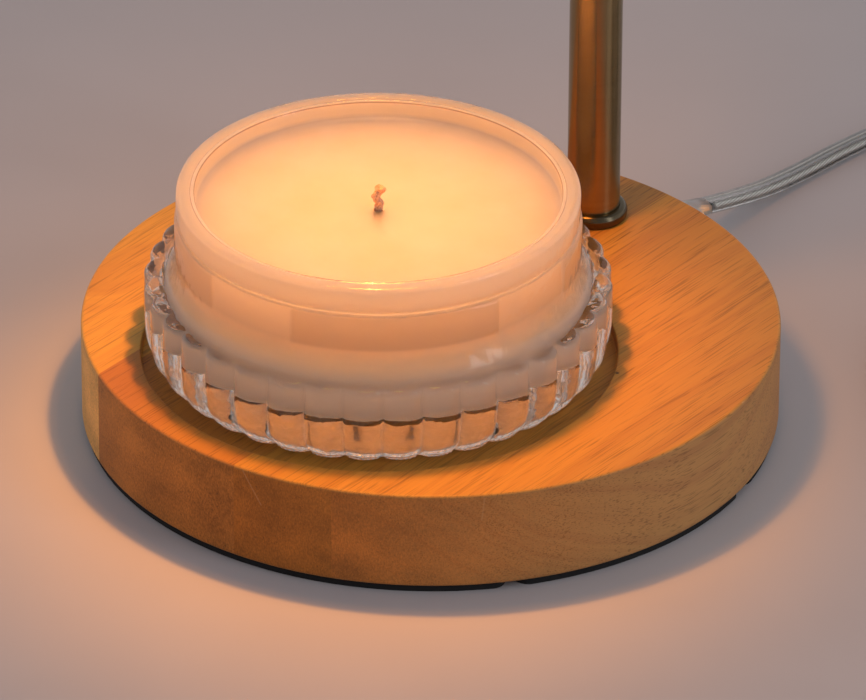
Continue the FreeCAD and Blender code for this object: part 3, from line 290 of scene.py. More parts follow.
wallRoute = [(159, 88, 6), (159, 69, 6), (149.1, 50.3, lie), (131.5, 40, lie), (111, 40, lie), (90, 52, lie),
             (68.5, 73, lie), (53.5, 99, lie)]
tailRoute = [(53, 121.1, 6.1), (51.5, 136.1, 8.2), (56.2, 150.5, 10.8), (66.4, 161.7, 13.4), (80.15, 167.8, 15),
             (95.2, 167.8, 15)]


def coilRoute(spec):  # clockwise turns: inward on the floor, then outward on top of them
    points, steps = [], round(spec["turns"] / 360 * spec["perTurn"])
    for number in range(steps + 1):
        share = number / steps
        angle = math.radians(180 - spec["turns"] * share)
        inward = 1 - abs(2 * share - 1)
        radius = (spec["outerTurn"] + (spec["innerTurn"] - spec["outerTurn"]) * inward) / spec["coilPull"]
        climb = min(max((share - spec["climbFrom"]) / spec["climbFor"], 0), 1)
        height = spec["lowLayer"] + (spec["highLayer"] - spec["lowLayer"]) * climb
        points.append((spec["coilCentre"][0] + radius * math.cos(angle),
                       spec["coilCentre"][1] + radius * math.sin(angle), height))
    return points


def readRoute(points):  # the smooth line itself: the points of the NURBS curve with no bevel
    data = bpy.data.curves.new("route", "CURVE")
    data.dimensions, data.resolution_u = "3D", 14
    spline = data.splines.new("NURBS")
    spline.points.add(len(points) - 1)
    spline.points.foreach_set("co", [n * mm if k < 3 else 1.0 for p in points for k, n in enumerate((*p, 1))])
    spline.order_u, spline.use_endpoint_u = 3, True
    route = bpy.data.objects.new("route", data)
    scene.collection.objects.link(route)
    bpy.context.view_layer.update()
    line = bpy.data.meshes.new_from_object(route.evaluated_get(bpy.context.evaluated_depsgraph_get()))
    found = numpy.array([vertex.co for vertex in line.vertices])
    bpy.data.objects.remove(route)
    return found


def crossFrame(path, sideways=None):  # the tangent, and the side and up that stand square to it at each point
    tangent = numpy.gradient(path, axis=0)
    tangent /= numpy.linalg.norm(tangent, axis=1)[:, None]
    side = numpy.cross([0, 0, 1], tangent) if sideways is None else numpy.broadcast_to(sideways, path.shape)
    side = side / numpy.linalg.norm(side, axis=1)[:, None]
    return side, numpy.cross(tangent, side)


def sweptGrid(path, sections, sideways=None):
    # a section of (side, up) in mm at each point of the path, or one for all; a point closes each end
    side, up = crossFrame(path, sideways)
    sections = numpy.broadcast_to(sections, (len(path), *sections.shape[-2:]))
    rings = path[:, None] + (side[:, None] * sections[..., :1] + up[:, None] * sections[..., 1:]) * mm
    ends = [numpy.repeat(path[k][None, None], rings.shape[1], axis=1) for k in (0, -1)]
    return numpy.concatenate([ends[0], rings, ends[1]])


def flatTwin(spec, count=40):  # two round lobes with a waist: an oval whose thickness dips in the middle
    angle = numpy.linspace(0, 2 * math.pi, count, endpoint=False)
    wide = numpy.sign(numpy.cos(angle)) * abs(numpy.cos(angle)) ** spec["lobe"]
    across = spec["halfWidth"] * wide
    oval = numpy.sqrt(numpy.clip(1 - abs(wide) ** spec["square"], 0, 1))
    thick = spec["halfThick"] * oval * numpy.sign(numpy.sin(angle) + 1e-9)
    thick *= 1 - spec["waist"] * numpy.exp(-(across / spec["waistWidth"]) ** 2)
    return numpy.stack([across, thick], -1)


def cordPiece(name, path, jacket, spec, materials, *replaced):
    # a clear jacket with its section along the path, and two bright strands inside, all in one mesh
    parts = [gridMesh("jacket", sweptGrid(path, jacket), around=spec["around"][0])]
    for sign in (-1, 1):
        core = ringPoints(spec["coreRadius"], 14) + (sign * spec["coreOffset"], 0)
        parts.append(gridMesh("core", sweptGrid(path[1:-1], core), around=spec["around"][1]))
    for number, part in enumerate(parts):
        part.polygons.foreach_set("material_index", [min(number, 1)] * len(part.polygons))
    return placePiece(name, joined(name, parts), "base", "clear_pvc", materials, *replaced)


reliefSpec = {
    "stations": [(64.3, 4.7), (64.5, 4.8), (65.6, 4.8), (65.8, 4.7), (65.85, 4.2), (75.2, 4.2), (75.3, 4.5),
                 (75.6, 4.6), (77.2, 4.5), (77.7, 4.3), (78.2, 4.0), (81, 3.7), (85, 3.4), (89, 3.2), (93, 3.0),
                 (96.6, 2.9)],
    "height": 10.4, "bendFrom": 77.8, "bendTo": 97.21, "drop": 2.56, "flattenTo": 0.62, "flattenBy": 0.7,
}


def reliefRoute(spec):
    # straight through the wood, then falling with the square of the way past the collar and growing flatter
    along = numpy.array([station[0] for station in spec["stations"]])
    past = numpy.clip((along - spec["bendFrom"]) / (spec["bendTo"] - spec["bendFrom"]), 0, 1)
    path = numpy.stack([0 * along, along, spec["height"] - spec["drop"] * past ** 2], -1)
    radius = numpy.array([station[1] for station in spec["stations"]])[:, None, None]
    flat = 1 + (spec["flattenTo"] - 1) * past[:, None] ** spec["flattenBy"]
    ring = ringPoints(1, 40) * numpy.stack([1 + 0 * flat, flat], -1)
    return path * mm, ring * radius


cordLayers = [clearVinyl("clear_vinyl_jacket", 0.06), tinnedStrand(cordSpec)]
mouldedVinyl = clearVinyl("moulded_vinyl_satin", 0.28)
lampPath, wallPath = readRoute(lampRoute), readRoute(wallRoute + coilRoute(cordSpec) + tailRoute)
lampCord = cordPiece("cord_to_lamp", lampPath, flatTwin(cordSpec), cordSpec, cordLayers, "cord_lamp")
wallCord = cordPiece("cord_to_wall", wallPath, flatTwin(cordSpec), cordSpec, cordLayers, "cord_wall",
                     "cord_coil", "cord_tail")
cordPiece("relief_sleeve", *reliefRoute(reliefSpec), cordSpec, [mouldedVinyl, cordLayers[1]], "cord_relief")
print("stage: camera and cords")


# wooden foot

woodSpec = {
    "joints": (-39.7, 6.4, 28.4), "half": 80,
    "staves": ("#D6A43E", "#B87C30", "#C48C36", "#C9903C"),  # the faces: straw yellow, brown, two of honey
    "ends": ("#F5B868", "#B5702E", "#AD6824", "#BA6E28"),  # the end grain: yellow, then three close browns
    "paintedWallLight": (0.9, 0.98, 2.1),  # walls along the grain get the face colour made greyer and bluer: painted cool light on the sides
    "number": (0.0, 0.31, 0.57, 0.89), "pores": (0.2, 0.6, 0.45, 0.35),
    "ringCentre": (-22, 0, -96), "ringBend": 10.0, "lean": 1.5,
    "late": "#A4622C", "lateShare": 0.36, "pore": "#4E2C14",
    "marks": [((9.2, -74.4, 22.9), (13.5, -73.8, 16.0), 0.22, "#D8A878", 0.3),  # two scratches, a dark speck
              ((55.0, -51.0, 22.8), (54.6, -51.4, 17.5), 0.2, "#D8A878", 0.25),
              ((45.8, 6.0, 23.4), (45.8, 6.0, 23.6), 0.55, "#2A1408", 0.9),
              ((73.8, 13.2, 23.4), (73.7, 14.6, 23.3), 0.3, "#E8C8A4", 0.5)],  # and a rubbed spot on the edge
}


def rubberwood(spec):
    # glued staves of pale wood: soft growth bands, hair-thin dark pores along the grain, specks on the ends
    material, tree, place = startMaterial("rubberwood_oiled")
    spot = addNode(tree, "TexCoord")
    axes = addNode(tree, "SeparateXYZ", {0: place})
    across = addNode(tree, "MapRange", {0: axes.outputs[0], 1: -spec["half"], 2: spec["half"]})
    edges = [(joint + spec["half"]) / (2 * spec["half"]) for joint in spec["joints"]]
    tint, endTint, number, poreShare = [
        addNode(tree, "ValToRGB", {0: across}, stops=list(zip([0] + edges, spec[key])))
        for key in ("staves", "ends", "number", "pores")]
    for ramp in (tint, endTint, number, poreShare):
        ramp.color_ramp.interpolation = "CONSTANT"
    shift = addNode(tree, "VectorMath", {0: number, 1: (61.0, 340.0, 47.0)}, operation="MULTIPLY")
    own = addNode(tree, "VectorMath", {0: place, 1: shift}, operation="ADD")
    wander = addNode(tree, "TexNoise", {"Vector": stretched(tree, own, 22, 110, 22), "Scale": 1, "Detail": 2})
    bend = addNode(tree, "VectorMath", {0: wander.outputs["Color"], "Scale": spec["ringBend"]},
                   operation="SCALE")
    tilted = addNode(tree, "VectorRotate", {"Vector": own, "Angle": math.radians(spec["lean"])},
                     rotation_type="X_AXIS")
    flat = addNode(tree, "VectorMath", {0: tilted, 1: (1, 0, 1)}, operation="MULTIPLY")
    away = addNode(tree, "VectorMath", {0: flat, 1: spec["ringCentre"]}, operation="SUBTRACT")
    bent = addNode(tree, "VectorMath", {0: away, 1: bend}, operation="ADD")
    ring = addNode(tree, "VectorMath", {0: bent}, operation="LENGTH")
    band = addNode(tree, "TexNoise", {"W": ring.outputs["Value"], "Scale": 0.3, "Detail": 4,
                                      "Roughness": 0.7}, noise_dimensions="1D")
    growth = addNode(tree, "MapRange", {0: band, 1: 0.42, 2: 0.74}, interpolation_type="SMOOTHSTEP")
    fibre = addNode(tree, "TexNoise", {"Vector": stretched(tree, own, 0.28, 34, 0.28), "Scale": 1,
                                       "Detail": 3})
    pore = addNode(tree, "TexNoise", {"Vector": stretched(tree, own, 0.3, 9, 0.3), "Scale": 1, "Detail": 1})
    crowd = addNode(tree, "TexNoise", {"Vector": stretched(tree, own, 5, 90, 5), "Scale": 1, "Detail": 1})
    level = addNode(tree, "MapRange", {0: crowd, 1: 0.3, 2: 0.7, 3: 0.74, 4: 0.6})
    over = addNode(tree, "Math", {0: pore, 1: level}, operation="SUBTRACT")
    holes = addNode(tree, "MapRange", {0: over, 1: 0.0, 2: 0.07})
    late = addNode(tree, "Math", {0: growth, 1: spec["lateShare"]}, operation="MULTIPLY")
    warm = addNode(tree, "Mix", {0: late, 6: tint, 7: spec["late"]}, data_type="RGBA")
    hair = addNode(tree, "TexNoise", {"Vector": stretched(tree, own, 0.26, 13, 0.26), "Scale": 1, "Detail": 0})
    crowding = addNode(tree, "MapRange", {0: crowd, 1: 0.35, 2: 0.65, 3: -0.03, 4: 0.03})
    thick = addNode(tree, "Math", {0: hair, 1: crowding}, operation="ADD")
    lines = addNode(tree, "MapRange", {0: thick, 1: 0.61, 2: 0.7, 3: 1.0, 4: 0.68})
    silk = addNode(tree, "MapRange", {0: fibre, 1: 0.25, 2: 0.75, 3: 0.95, 4: 1.06})
    grain = addNode(tree, "Math", {0: silk, 1: lines}, operation="MULTIPLY")
    lit = addNode(tree, "VectorMath", {0: warm.outputs[2], "Scale": grain.outputs[0]}, operation="SCALE")
    facing = addNode(tree, "SeparateXYZ", {0: spot.outputs["Normal"]})
    upright = addNode(tree, "MapRange", {0: facing.outputs[2], 1: 0.85, 2: 0.15, 3: 0.0, 4: 1.0})
    cutAcross = addNode(tree, "Math", {0: facing.outputs[1], 1: facing.outputs[1]}, operation="MULTIPLY")
    # walls along the grain: the face tone times a bluish tint, painted cool light on the sides
    paintedWallLight = addNode(tree, "VectorMath", {0: lit, 1: spec["paintedWallLight"]}, operation="MULTIPLY")
    dust = addNode(tree, "TexNoise", {"Vector": stretched(tree, own, 0.3, 1.2, 0.6), "Scale": 1, "Detail": 3})
    patch = addNode(tree, "TexNoise", {"Vector": stretched(tree, own, 15, 30, 9), "Scale": 1, "Detail": 2})
    mottled = addNode(tree, "Math", {0: dust, 1: patch}, operation="ADD")
    fleck = addNode(tree, "MapRange", {0: mottled, 1: 0.7, 2: 1.3, 3: 0.6, 4: 1.42})
    ends = addNode(tree, "VectorMath", {0: endTint, "Scale": fleck.outputs[0]}, operation="SCALE")
    wall = addNode(tree, "Mix", {0: cutAcross, 6: paintedWallLight, 7: ends}, data_type="RGBA")
    face = addNode(tree, "Mix", {0: upright, 6: lit, 7: wall.outputs[2]}, data_type="RGBA")
    dark = addNode(tree, "Math", {0: holes, 1: poreShare}, operation="MULTIPLY")
    colour = addNode(tree, "Mix", {0: dark, 6: face.outputs[2], 7: spec["pore"]}, data_type="RGBA")
    for start, end, width, tone, strength in spec["marks"]:
        # a mark covers the points nearer than its width to its line
        run = Vector(end) - Vector(start)
        offset = addNode(tree, "VectorMath", {0: place, 1: start}, operation="SUBTRACT")
        share = addNode(tree, "VectorMath", {0: offset, 1: run / run.length_squared},
                        operation="DOT_PRODUCT")
        held = addNode(tree, "MapRange", {0: share.outputs["Value"]})
        nearest = addNode(tree, "VectorMath", {0: run, "Scale": held.outputs[0]}, operation="SCALE")
        gap = addNode(tree, "VectorMath", {0: offset, 1: nearest}, operation="DISTANCE")
        mask = addNode(tree, "MapRange", {0: gap.outputs["Value"], 1: width, 2: width * 0.4, 4: strength})
        colour = addNode(tree, "Mix", {0: mask, 6: colour.outputs[2], 7: tone}, data_type="RGBA")
    relief = addNode(tree, "Math", {0: fibre, 1: holes}, operation="SUBTRACT")
    bump = addNode(tree, "Bump", {"Height": relief, "Strength": 0.3, "Distance": 0.00005})
    rough = addNode(tree, "MapRange", {0: fibre, 3: 0.42, 4: 0.62})
    return closeMaterial(material, tree, {
        "Base Color": colour.outputs[2], "Roughness": rough.outputs[0], "Normal": bump,
        "Specular IOR Level": 0.35})


poleAt = 56.8  # the pole stands this far behind the foot's middle
footSpec = {"radius": 75, "low": 1.5, "top": 23.5, "edge": 0.7, "recessRadius": 50.8, "recessFloor": 21.0,
            "recessShift": -17.6, "recessEdge": 0.35, "recessFillet": 0.5, "plateRadius": 67.4, "plateTop": 5.5,
            "plateEdge": 0.3, "pocketRadius": 10.5, "pocketTop": 18.5, "sharp": 50,
            "holes": [(4.9, (0, poleAt, 17), (0, poleAt, 26)),  # radius and both ends: for the pole's rod,
                      (4.45, (0, 62, 10.4), (0, 78, 10.4))]}  # and for the strain relief


def woodenFoot(spec, material):
    # rings whose centre slides from the pocket to the foot's middle to the candle's recess
    outer = roundProfile([(spec["plateRadius"], spec["plateTop"]),
                          (spec["plateRadius"], spec["low"], spec["plateEdge"]),
                          (spec["radius"], spec["low"], spec["edge"]),
                          (spec["radius"], spec["top"], spec["edge"]),
                          (spec["recessRadius"], spec["top"])], closed=False)[:-1]
    rings = [(poleAt, 0, spec["pocketTop"]), (poleAt, spec["pocketRadius"], spec["pocketTop"]),
             (poleAt, spec["pocketRadius"], spec["plateTop"])]
    rings += [(0, radius, height) for radius, height in outer]
    inner = roundProfile([(spec["radius"], spec["top"]),
                          (spec["recessRadius"], spec["top"], spec["recessEdge"]),
                          (spec["recessRadius"], spec["recessFloor"], spec["recessFillet"]),
                          (0, spec["recessFloor"])], closed=False)[1:]
    last, first = outer[-1][0], inner[0][0]
    for share in numpy.linspace(0, 1, 9)[1:-1]:
        rings.append((spec["recessShift"] * share, last + (first - last) * share, spec["top"]))
    rings += [(spec["recessShift"], radius, height) for radius, height in inner]
    angles = numpy.linspace(0, 2 * math.pi, 360, endpoint=False)
    rings = numpy.array(rings)
    grid = numpy.stack([rings[:, 1:2] * numpy.cos(angles), rings[:, :1] + rings[:, 1:2] * numpy.sin(angles),
                        rings[:, 2:] + 0 * angles], -1)
    piece = placePiece("foot_wood", welded(gridMesh("foot_wood", grid * mm)), "base", "rubberwood", material,
                       "base_disc", sharp=spec["sharp"])
    for radius, start, end in spec["holes"]:
        drill = numpy.array([(0, 0), (radius, 0), (radius, 1), (0, 1)], float)
        turned = turnedMesh("drill", drill, 48, closed=False)
        start, end = Vector(start), Vector(end)
        run = end - start
        turned.transform(Matrix.Translation(start * mm) @ run.to_track_quat("Z", "Y").to_matrix().to_4x4()
                         @ Matrix.Diagonal((1, 1, run.length, 1)))
        cutAway(piece, bpy.data.objects.new("drill", turned))
    piece.data.set_sharp_from_angle(angle=math.radians(spec["sharp"]))


oiledWood = rubberwood(woodSpec)
woodenFoot(footSpec, oiledWood)
print("stage: foot")


# brass

brassSpec = {"tone": "#98835E", "dark": "#8C7754", "pale": "#A48E6A", "rough": (0.2, 0.26), "brush": 0.06,
             "smear": 0.9}
bronzeSpec = {"tone": "#5E5544", "dark": "#4C4436", "pale": "#6A604E", "rough": (0.2, 0.28), "brush": 0.15,
              "smear": 0.3}
upLines = {"sizes": (0.12, 0.12, 40), "turn": 0.0}  # a brush line's size on each axis, the smear's turn
roundLines = {"sizes": (16, 16, 0.09), "turn": 0.25}


def antiqueBrass(name, spec, brushing):
    # brushed brass: fine lines along one axis that smear reflections across them
    material, tree, place = startMaterial(name)
    along = addNode(tree, "Tangent", direction_type="UV_MAP", uv_map="lengths")
    lines = addNode(tree, "TexNoise", {"Vector": stretched(tree, place, *brushing["sizes"]), "Scale": 1,
                                       "Detail": 3})
    cloud = addNode(tree, "TexNoise", {"Vector": place, "Scale": 0.05, "Detail": 3})
    half = addNode(tree, "Math", {0: cloud, 1: 0.5}, operation="MULTIPLY")
    mixed = addNode(tree, "Math", {0: lines, 1: half}, operation="ADD")
    tone = addNode(tree, "ValToRGB", {0: mixed},
                   stops=[(0.45, spec["dark"]), (0.75, spec["tone"]), (1.0, spec["pale"])])
    rough = addNode(tree, "MapRange", {0: lines, 1: 0.3, 2: 0.7, 3: spec["rough"][0], 4: spec["rough"][1]})
    bump = addNode(tree, "Bump", {"Height": lines, "Strength": spec["brush"], "Distance": 0.00001})
    return closeMaterial(material, tree, {"Base Color": tone, "Metallic": 1.0, "Roughness": rough.outputs[0],
                                          "Normal": bump, "Tangent": along, "Anisotropic": spec["smear"],
                                          "Anisotropic Rotation": brushing["turn"]})


brushedPole = antiqueBrass("antique_brass_brushed_pole", brassSpec, roundLines)
spunBrass = antiqueBrass("antique_brass_spun", brassSpec, roundLines)
drawnBrass = antiqueBrass("antique_brass_drawn_tube", brassSpec, upLines)
darkBronze = antiqueBrass("dark_bronze_ring", bronzeSpec, roundLines)

poleSpec = {
    "at": (0, poleAt),
    "tube": [(4.75, 23.5), (5.75, 23.5, 0.2), (5.75, 160, 0.2), (4.75, 160)],
    "ring": [(5.8, 23.5), (7.3, 23.5, 0.6), (7.5, 25.3, 1.2), (6.9, 26.5, 0.9), (5.8, 26.5, 0.1)],
    "collar": [(5.8, 150), (8.5, 150, 0.8), (8.5, 166, 0.8), (4.7, 166, 0.2), (4.7, 160), (5.8, 160)],
}


def turnedBrass(name, corners, columns, centre, body, material, node):  # a rounded outline turned about an axis
    mesh = turnedMesh(name, roundProfile(corners), columns, centre)
    placePiece(name, mesh, body, "antique_brass", material, node)


turnedBrass("pole_tube", poleSpec["tube"], 128, poleSpec["at"], "base", brushedPole, "lower_tube")
turnedBrass("pole_foot_ring", poleSpec["ring"], 128, poleSpec["at"], "base", darkBronze, "foot_ring")
turnedBrass("pole_collar", poleSpec["collar"], 128, poleSpec["at"], "base", spunBrass, "clamp_collar")

armSpec = {"radius": 4.65, "bore": 3.65, "foot": 112, "bend": 308, "reach": 35.5, "end": 292, "around": 0.029}


def archedArm(spec, material):
    # up along the pole, half round the arch, down to the head; an outer and an inner skin
    y0 = poleSpec["at"][1]
    up = [(0, y0, z) for z in numpy.linspace(spec["foot"], spec["bend"], 12)]
    arch = [(0, y0 - spec["reach"] * (1 - math.cos(a)), spec["bend"] + spec["reach"] * math.sin(a))
            for a in numpy.linspace(0, math.pi, 73)[1:]]
    down = [(0, y0 - 2 * spec["reach"], z) for z in numpy.linspace(spec["bend"], spec["end"], 4)[1:]]
    path = numpy.array(up + arch + down) * mm
    side, lift = crossFrame(path, numpy.array([1.0, 0, 0]))
    angles = numpy.linspace(0, 2 * math.pi, 64, endpoint=False)
    circle = (side[:, None] * numpy.cos(angles)[None, :, None]
              + lift[:, None] * numpy.sin(angles)[None, :, None])
    skin = path[:, None] + circle * spec["radius"] * mm
    inside = path[:, None] + circle * spec["bore"] * mm
    mesh = gridMesh("arm_arch", numpy.concatenate([skin, inside[::-1]]), wrapRows=True, around=spec["around"])
    placePiece("arm_arch", mesh, "arm", "antique_brass", material, "arm_tube")


archedArm(armSpec, drawnBrass)

headSpec = {
    "at": (0, -14.2),
    "socket": [(4.7, 292), (3.8, 292), (3.8, 288), (7.5, 288, 0.3), (7.5, 299.4, 1.2), (4.7, 300, 0.3)],
    "dome": (24, 222.8), "outer": 35.8, "inner": 35.0, "bead": (59.8, 204), "beadRadius": 1.0,
    "topOuter": [(15.0, 258.6), (19.5, 258.6)], "topInner": [(19.5, 257.8), (15.0, 257.8)],
    "skirt": [(59.8, 215), (59.8, 205.6)], "lip": [(59.2, 203), (59.0, 203.2), (59.0, 215)],
}
turnedBrass("arm_socket", headSpec["socket"], 96, headSpec["at"], "arm", spunBrass, "arm_ferrule")


def arcPoints(centre, radius, angles):  # (radius, height) at each angle from level, about the centre
    return [(centre[0] + radius * math.cos(a), centre[1] + radius * math.sin(a)) for a in angles]


def domeProfile(spec):
    # two skins: a flat top, a quarter-round dome and a straight skirt, with a rolled bead below
    outer, inner = [[(spec["dome"][0] + radius * math.sin(a), spec["dome"][1] + radius * math.cos(a))
                     for a in numpy.linspace(0, math.pi / 2, 33)] for radius in (spec["outer"], spec["inner"])]
    bead = arcPoints(spec["bead"], spec["beadRadius"], numpy.linspace(math.pi / 2, -math.pi / 2, 9))
    points = spec["topOuter"] + outer + spec["skirt"] + bead + spec["lip"] + inner[::-1] + spec["topInner"]
    return numpy.array(points[::-1])


placePiece("shade_dome", turnedMesh("shade_dome", domeProfile(headSpec), 256, headSpec["at"]), "arm",
           "antique_brass", spunBrass, "shade")
print("stage: brass")


# candle

jarSpec = {
    "at": (-1.9, -15.7), "low": 21.05, "ribs": 36, "columns": 1152, "depth": 1.7, "bow": 0.93,
    "beads": 8, "beadSize": 0.22, "beadLow": 0.05, "beadFrom": 44,  # a string of beads on the foot's edge
    "crest": [(0.0, 44.6), (0.08, 45.1), (0.25, 45.5), (0.5, 45.85), (0.8, 46.1), (1.1, 46.4), (1.4, 46.8),
              (2.2, 47.6), (3.6, 48.6), (5.2, 49.2), (7, 49.6), (9.5, 49.85), (12, 49.9), (14.5, 49.9),
              (17.2, 49.9), (18.0, 49.85), (18.5, 49.6), (18.85, 49.2), (19.0, 48.6)],
    "ledge": [(19.0, 47.6), (19.0, 46.3), (19.08, 45.3), (19.4, 44.75)],
    "fade": (0.75, 0.4, 0.12, 0.0),  # how much of the ribs is left at each point of the ledge
    "shoulder": [(20.2, 44.3), (21.2, 43.95), (22.4, 43.6), (23.8, 43.25), (25.3, 42.95)],
    "neck": [(25.8, 42.9), (27, 42.88), (30, 42.86), (32.5, 42.86), (33.0, 42.82), (33.2, 42.6), (33.35, 42.3),
             (33.75, 42.25), (33.95, 42.7), (34.3, 42.9), (36, 42.9), (38.6, 42.9), (39.2, 42.85), (39.5, 42.7),
             (39.7, 42.45), (39.78, 42.2), (39.8, 41.8), (39.8, 40.4), (39.72, 40.15), (39.5, 39.95),
             (39.5, 39.85), (39.68, 39.65), (39.72, 39.45)],
    "inside": [(39.6, 39.2), (39.3, 39.0), (38.9, 38.85), (38.0, 38.8), (35.6, 38.8), (34, 38.8), (24, 38.8),
               (10, 38.8), (8.4, 38.65), (7.3, 38.2), (6.6, 37.4), (6.4, 36.3), (6.6, 34), (7.2, 30), (7.8, 22),
               (8.0, 12), (8.0, 0)],
    "punt": [(0.8, 0), (0.8, 20), (0.8, 34.6), (0.7, 35.3), (0.2, 36.4), (0.0, 37.0), (0.0, 40.0)],
    "lugStart": 13, "lugWidth": 62, "lugSides": 0.8,  # degrees
    "lugLow": 24.9, "lugHigh": 33.3, "lugEnds": 0.5, "lugDepth": 0.4, "lugFrom": 42.2,  # only the neck has them
}


def lugShare(spec, angles, height):
    # 1 inside the four smooth windows of the neck, falling to 0 over the width of their sides and ends
    turn = (numpy.degrees(angles) - spec["lugStart"]) % 90
    across = numpy.clip(numpy.minimum(turn, spec["lugWidth"] - turn) / spec["lugSides"], 0, 1)
    inside = numpy.minimum(height - spec["lugLow"], spec["lugHigh"] - height) / spec["lugEnds"]
    return across * numpy.clip(inside, 0, 1)


def ribbedJar(spec, material):
    # each rib is an arc: radius = profile - depth * (1 - sqrt(1 - (bow * place across the rib)^2)), with the
    # bracket scaled to 1 in the valley, fading over the ledge; beads run round the foot's edge, and lugs
    # add smooth windows on the neck
    shares = {"punt": 0.0, "crest": 1.0, "ledge": spec["fade"], "shoulder": 0.0, "neck": 0.0, "inside": 0.0}
    rows = numpy.concatenate([spec[name] for name in shares])[:, ::-1]
    ribShare = numpy.concatenate([0 * numpy.array(spec[name])[:, 0] + share for name, share in shares.items()])

    def withRibs(radius, height, angles):
        lobe = (angles * spec["ribs"] / (2 * math.pi)) % 1 * 2 - 1
        scallop = 1 - numpy.sqrt(1 - (abs(lobe) * spec["bow"]) ** 2)
        scallop = scallop / scallop.max() * spec["depth"]
        foot = numpy.sin(math.pi * numpy.clip(height - spec["beadLow"], 0, 1)) * (radius > spec["beadFrom"])
        beads = spec["beadSize"] * foot * numpy.cos(angles * spec["ribs"] * spec["beads"])
        lugs = spec["lugDepth"] * lugShare(spec, angles, height) * (radius > spec["lugFrom"])
        return radius - ribShare[:, None] * scallop + beads + lugs, spec["low"] + height

    mesh = turnedMesh("jar_glass", rows, spec["columns"], spec["at"], closed=False, shape=withRibs)
    placePiece("jar_glass", mesh, "candle", "clear_glass", material, "candle_jar", sharp=48)


def pressedGlass():  # clear pressed glass, very slightly wavy, so what lies behind it bends
    material, tree, place = startMaterial("clear_pressed_glass")
    wave = addNode(tree, "TexNoise", {"Vector": stretched(tree, place, 4, 4, 6), "Scale": 1, "Detail": 2})
    bump = addNode(tree, "Bump", {"Height": wave, "Strength": 0.6, "Distance": 0.0005})
    return closeMaterial(material, tree, {"Base Color": "#FDFCFA", "Transmission Weight": 1.0, "IOR": 1.5,
                                          "Roughness": 0.06, "Normal": bump})


waxSpec = {"tone": "#DFCBBC", "cloudy": "#D8C2AC", "radius": (1.0, 0.95, 0.9), "depth": 0.11, "skinDepth": 0.02,
           # the rim by radius: on its own peach, a white line of painted highlight between two dark lines of
           # painted shade at the glass edges
           "rings": [(38.5, "#F3D8C0"), (39.05, "#F3D8C0"), (39.15, "#9A7860"), (39.3, "#FFF6E8"),
                     (39.7, "#FFF6E8"), (39.82, "#9A7860"), (40.0, "#FAE8D2"), (44.0, "#FAE8D2")],
           # the milky core's tones by height in mm are painted light: brightest at the foot, where the glow is
           # painted, darker on the upright neck
           "sides": [(0, "#FFF6EE"), (8, "#FFF6EE"), (11, "#FFEDDC"), (18, "#FFEDDC"), (21, "#FADCBE"),
                     (24.5, "#E0C6AC"), (25.6, "#CCB9A5"), (33.0, "#CCB9A5"), (33.6, "#F2E0CA"),
                     (40, "#F2E0CA")],
           "window": "#BAA791",
           "skinAt": (38.5, 38.9), "ringSpan": (38, 45), "windowAt": (42.72, 43.0),  # radii where the tone turns
           "neckAt": (24.9, 25.3), "rimAt": (33.2, 33.8), "capAt": (38.8, 39.1), "tall": 40,  # and heights
           "well": [(1.2, 8.6), (1.2, 30)], "lugFrom": 41.9,
           "top": [(1.2, 34.9), (1.6, 35.3), (3.0, 35.45), (8, 35.5), (20, 35.5), (34, 35.5), (37.0, 35.53),
                   (38.2, 35.75), (38.8, 36.3)],
           "rim": [(38.95, 37.0), (38.98, 38.8), (39.15, 39.2), (39.45, 39.45), (39.65, 39.4), (39.9, 39.2),
                   (40.2, 39.35), (40.5, 39.5), (41.8, 39.5), (42.3, 39.35), (42.6, 38.9), (42.6, 38.2),
                   (42.6, 34.4), (41.95, 33.9), (41.95, 33.3), (42.5, 33.0), (42.56, 32.5), (42.56, 25.8),
                   (42.62, 25.2), (42.9, 23.8), (43.22, 22.4), (43.55, 21.2), (43.85, 20.2), (44.1, 19.2),
                   (44.4, 18.2), (44.6, 17.0)],
           "side": [(44.7, 15), (44.65, 13.2), (44.5, 11.6), (44.2, 10.6), (43.4, 9.9), (42.0, 9.5),
                    (40.4, 9.3), (39.0, 8.9), (38.22, 7.68), (37.4, 6.78), (36.3, 6.48), (34, 6.62),
                    (30, 7.18), (22, 7.78), (12, 7.98), (1.2, 7.98)]}


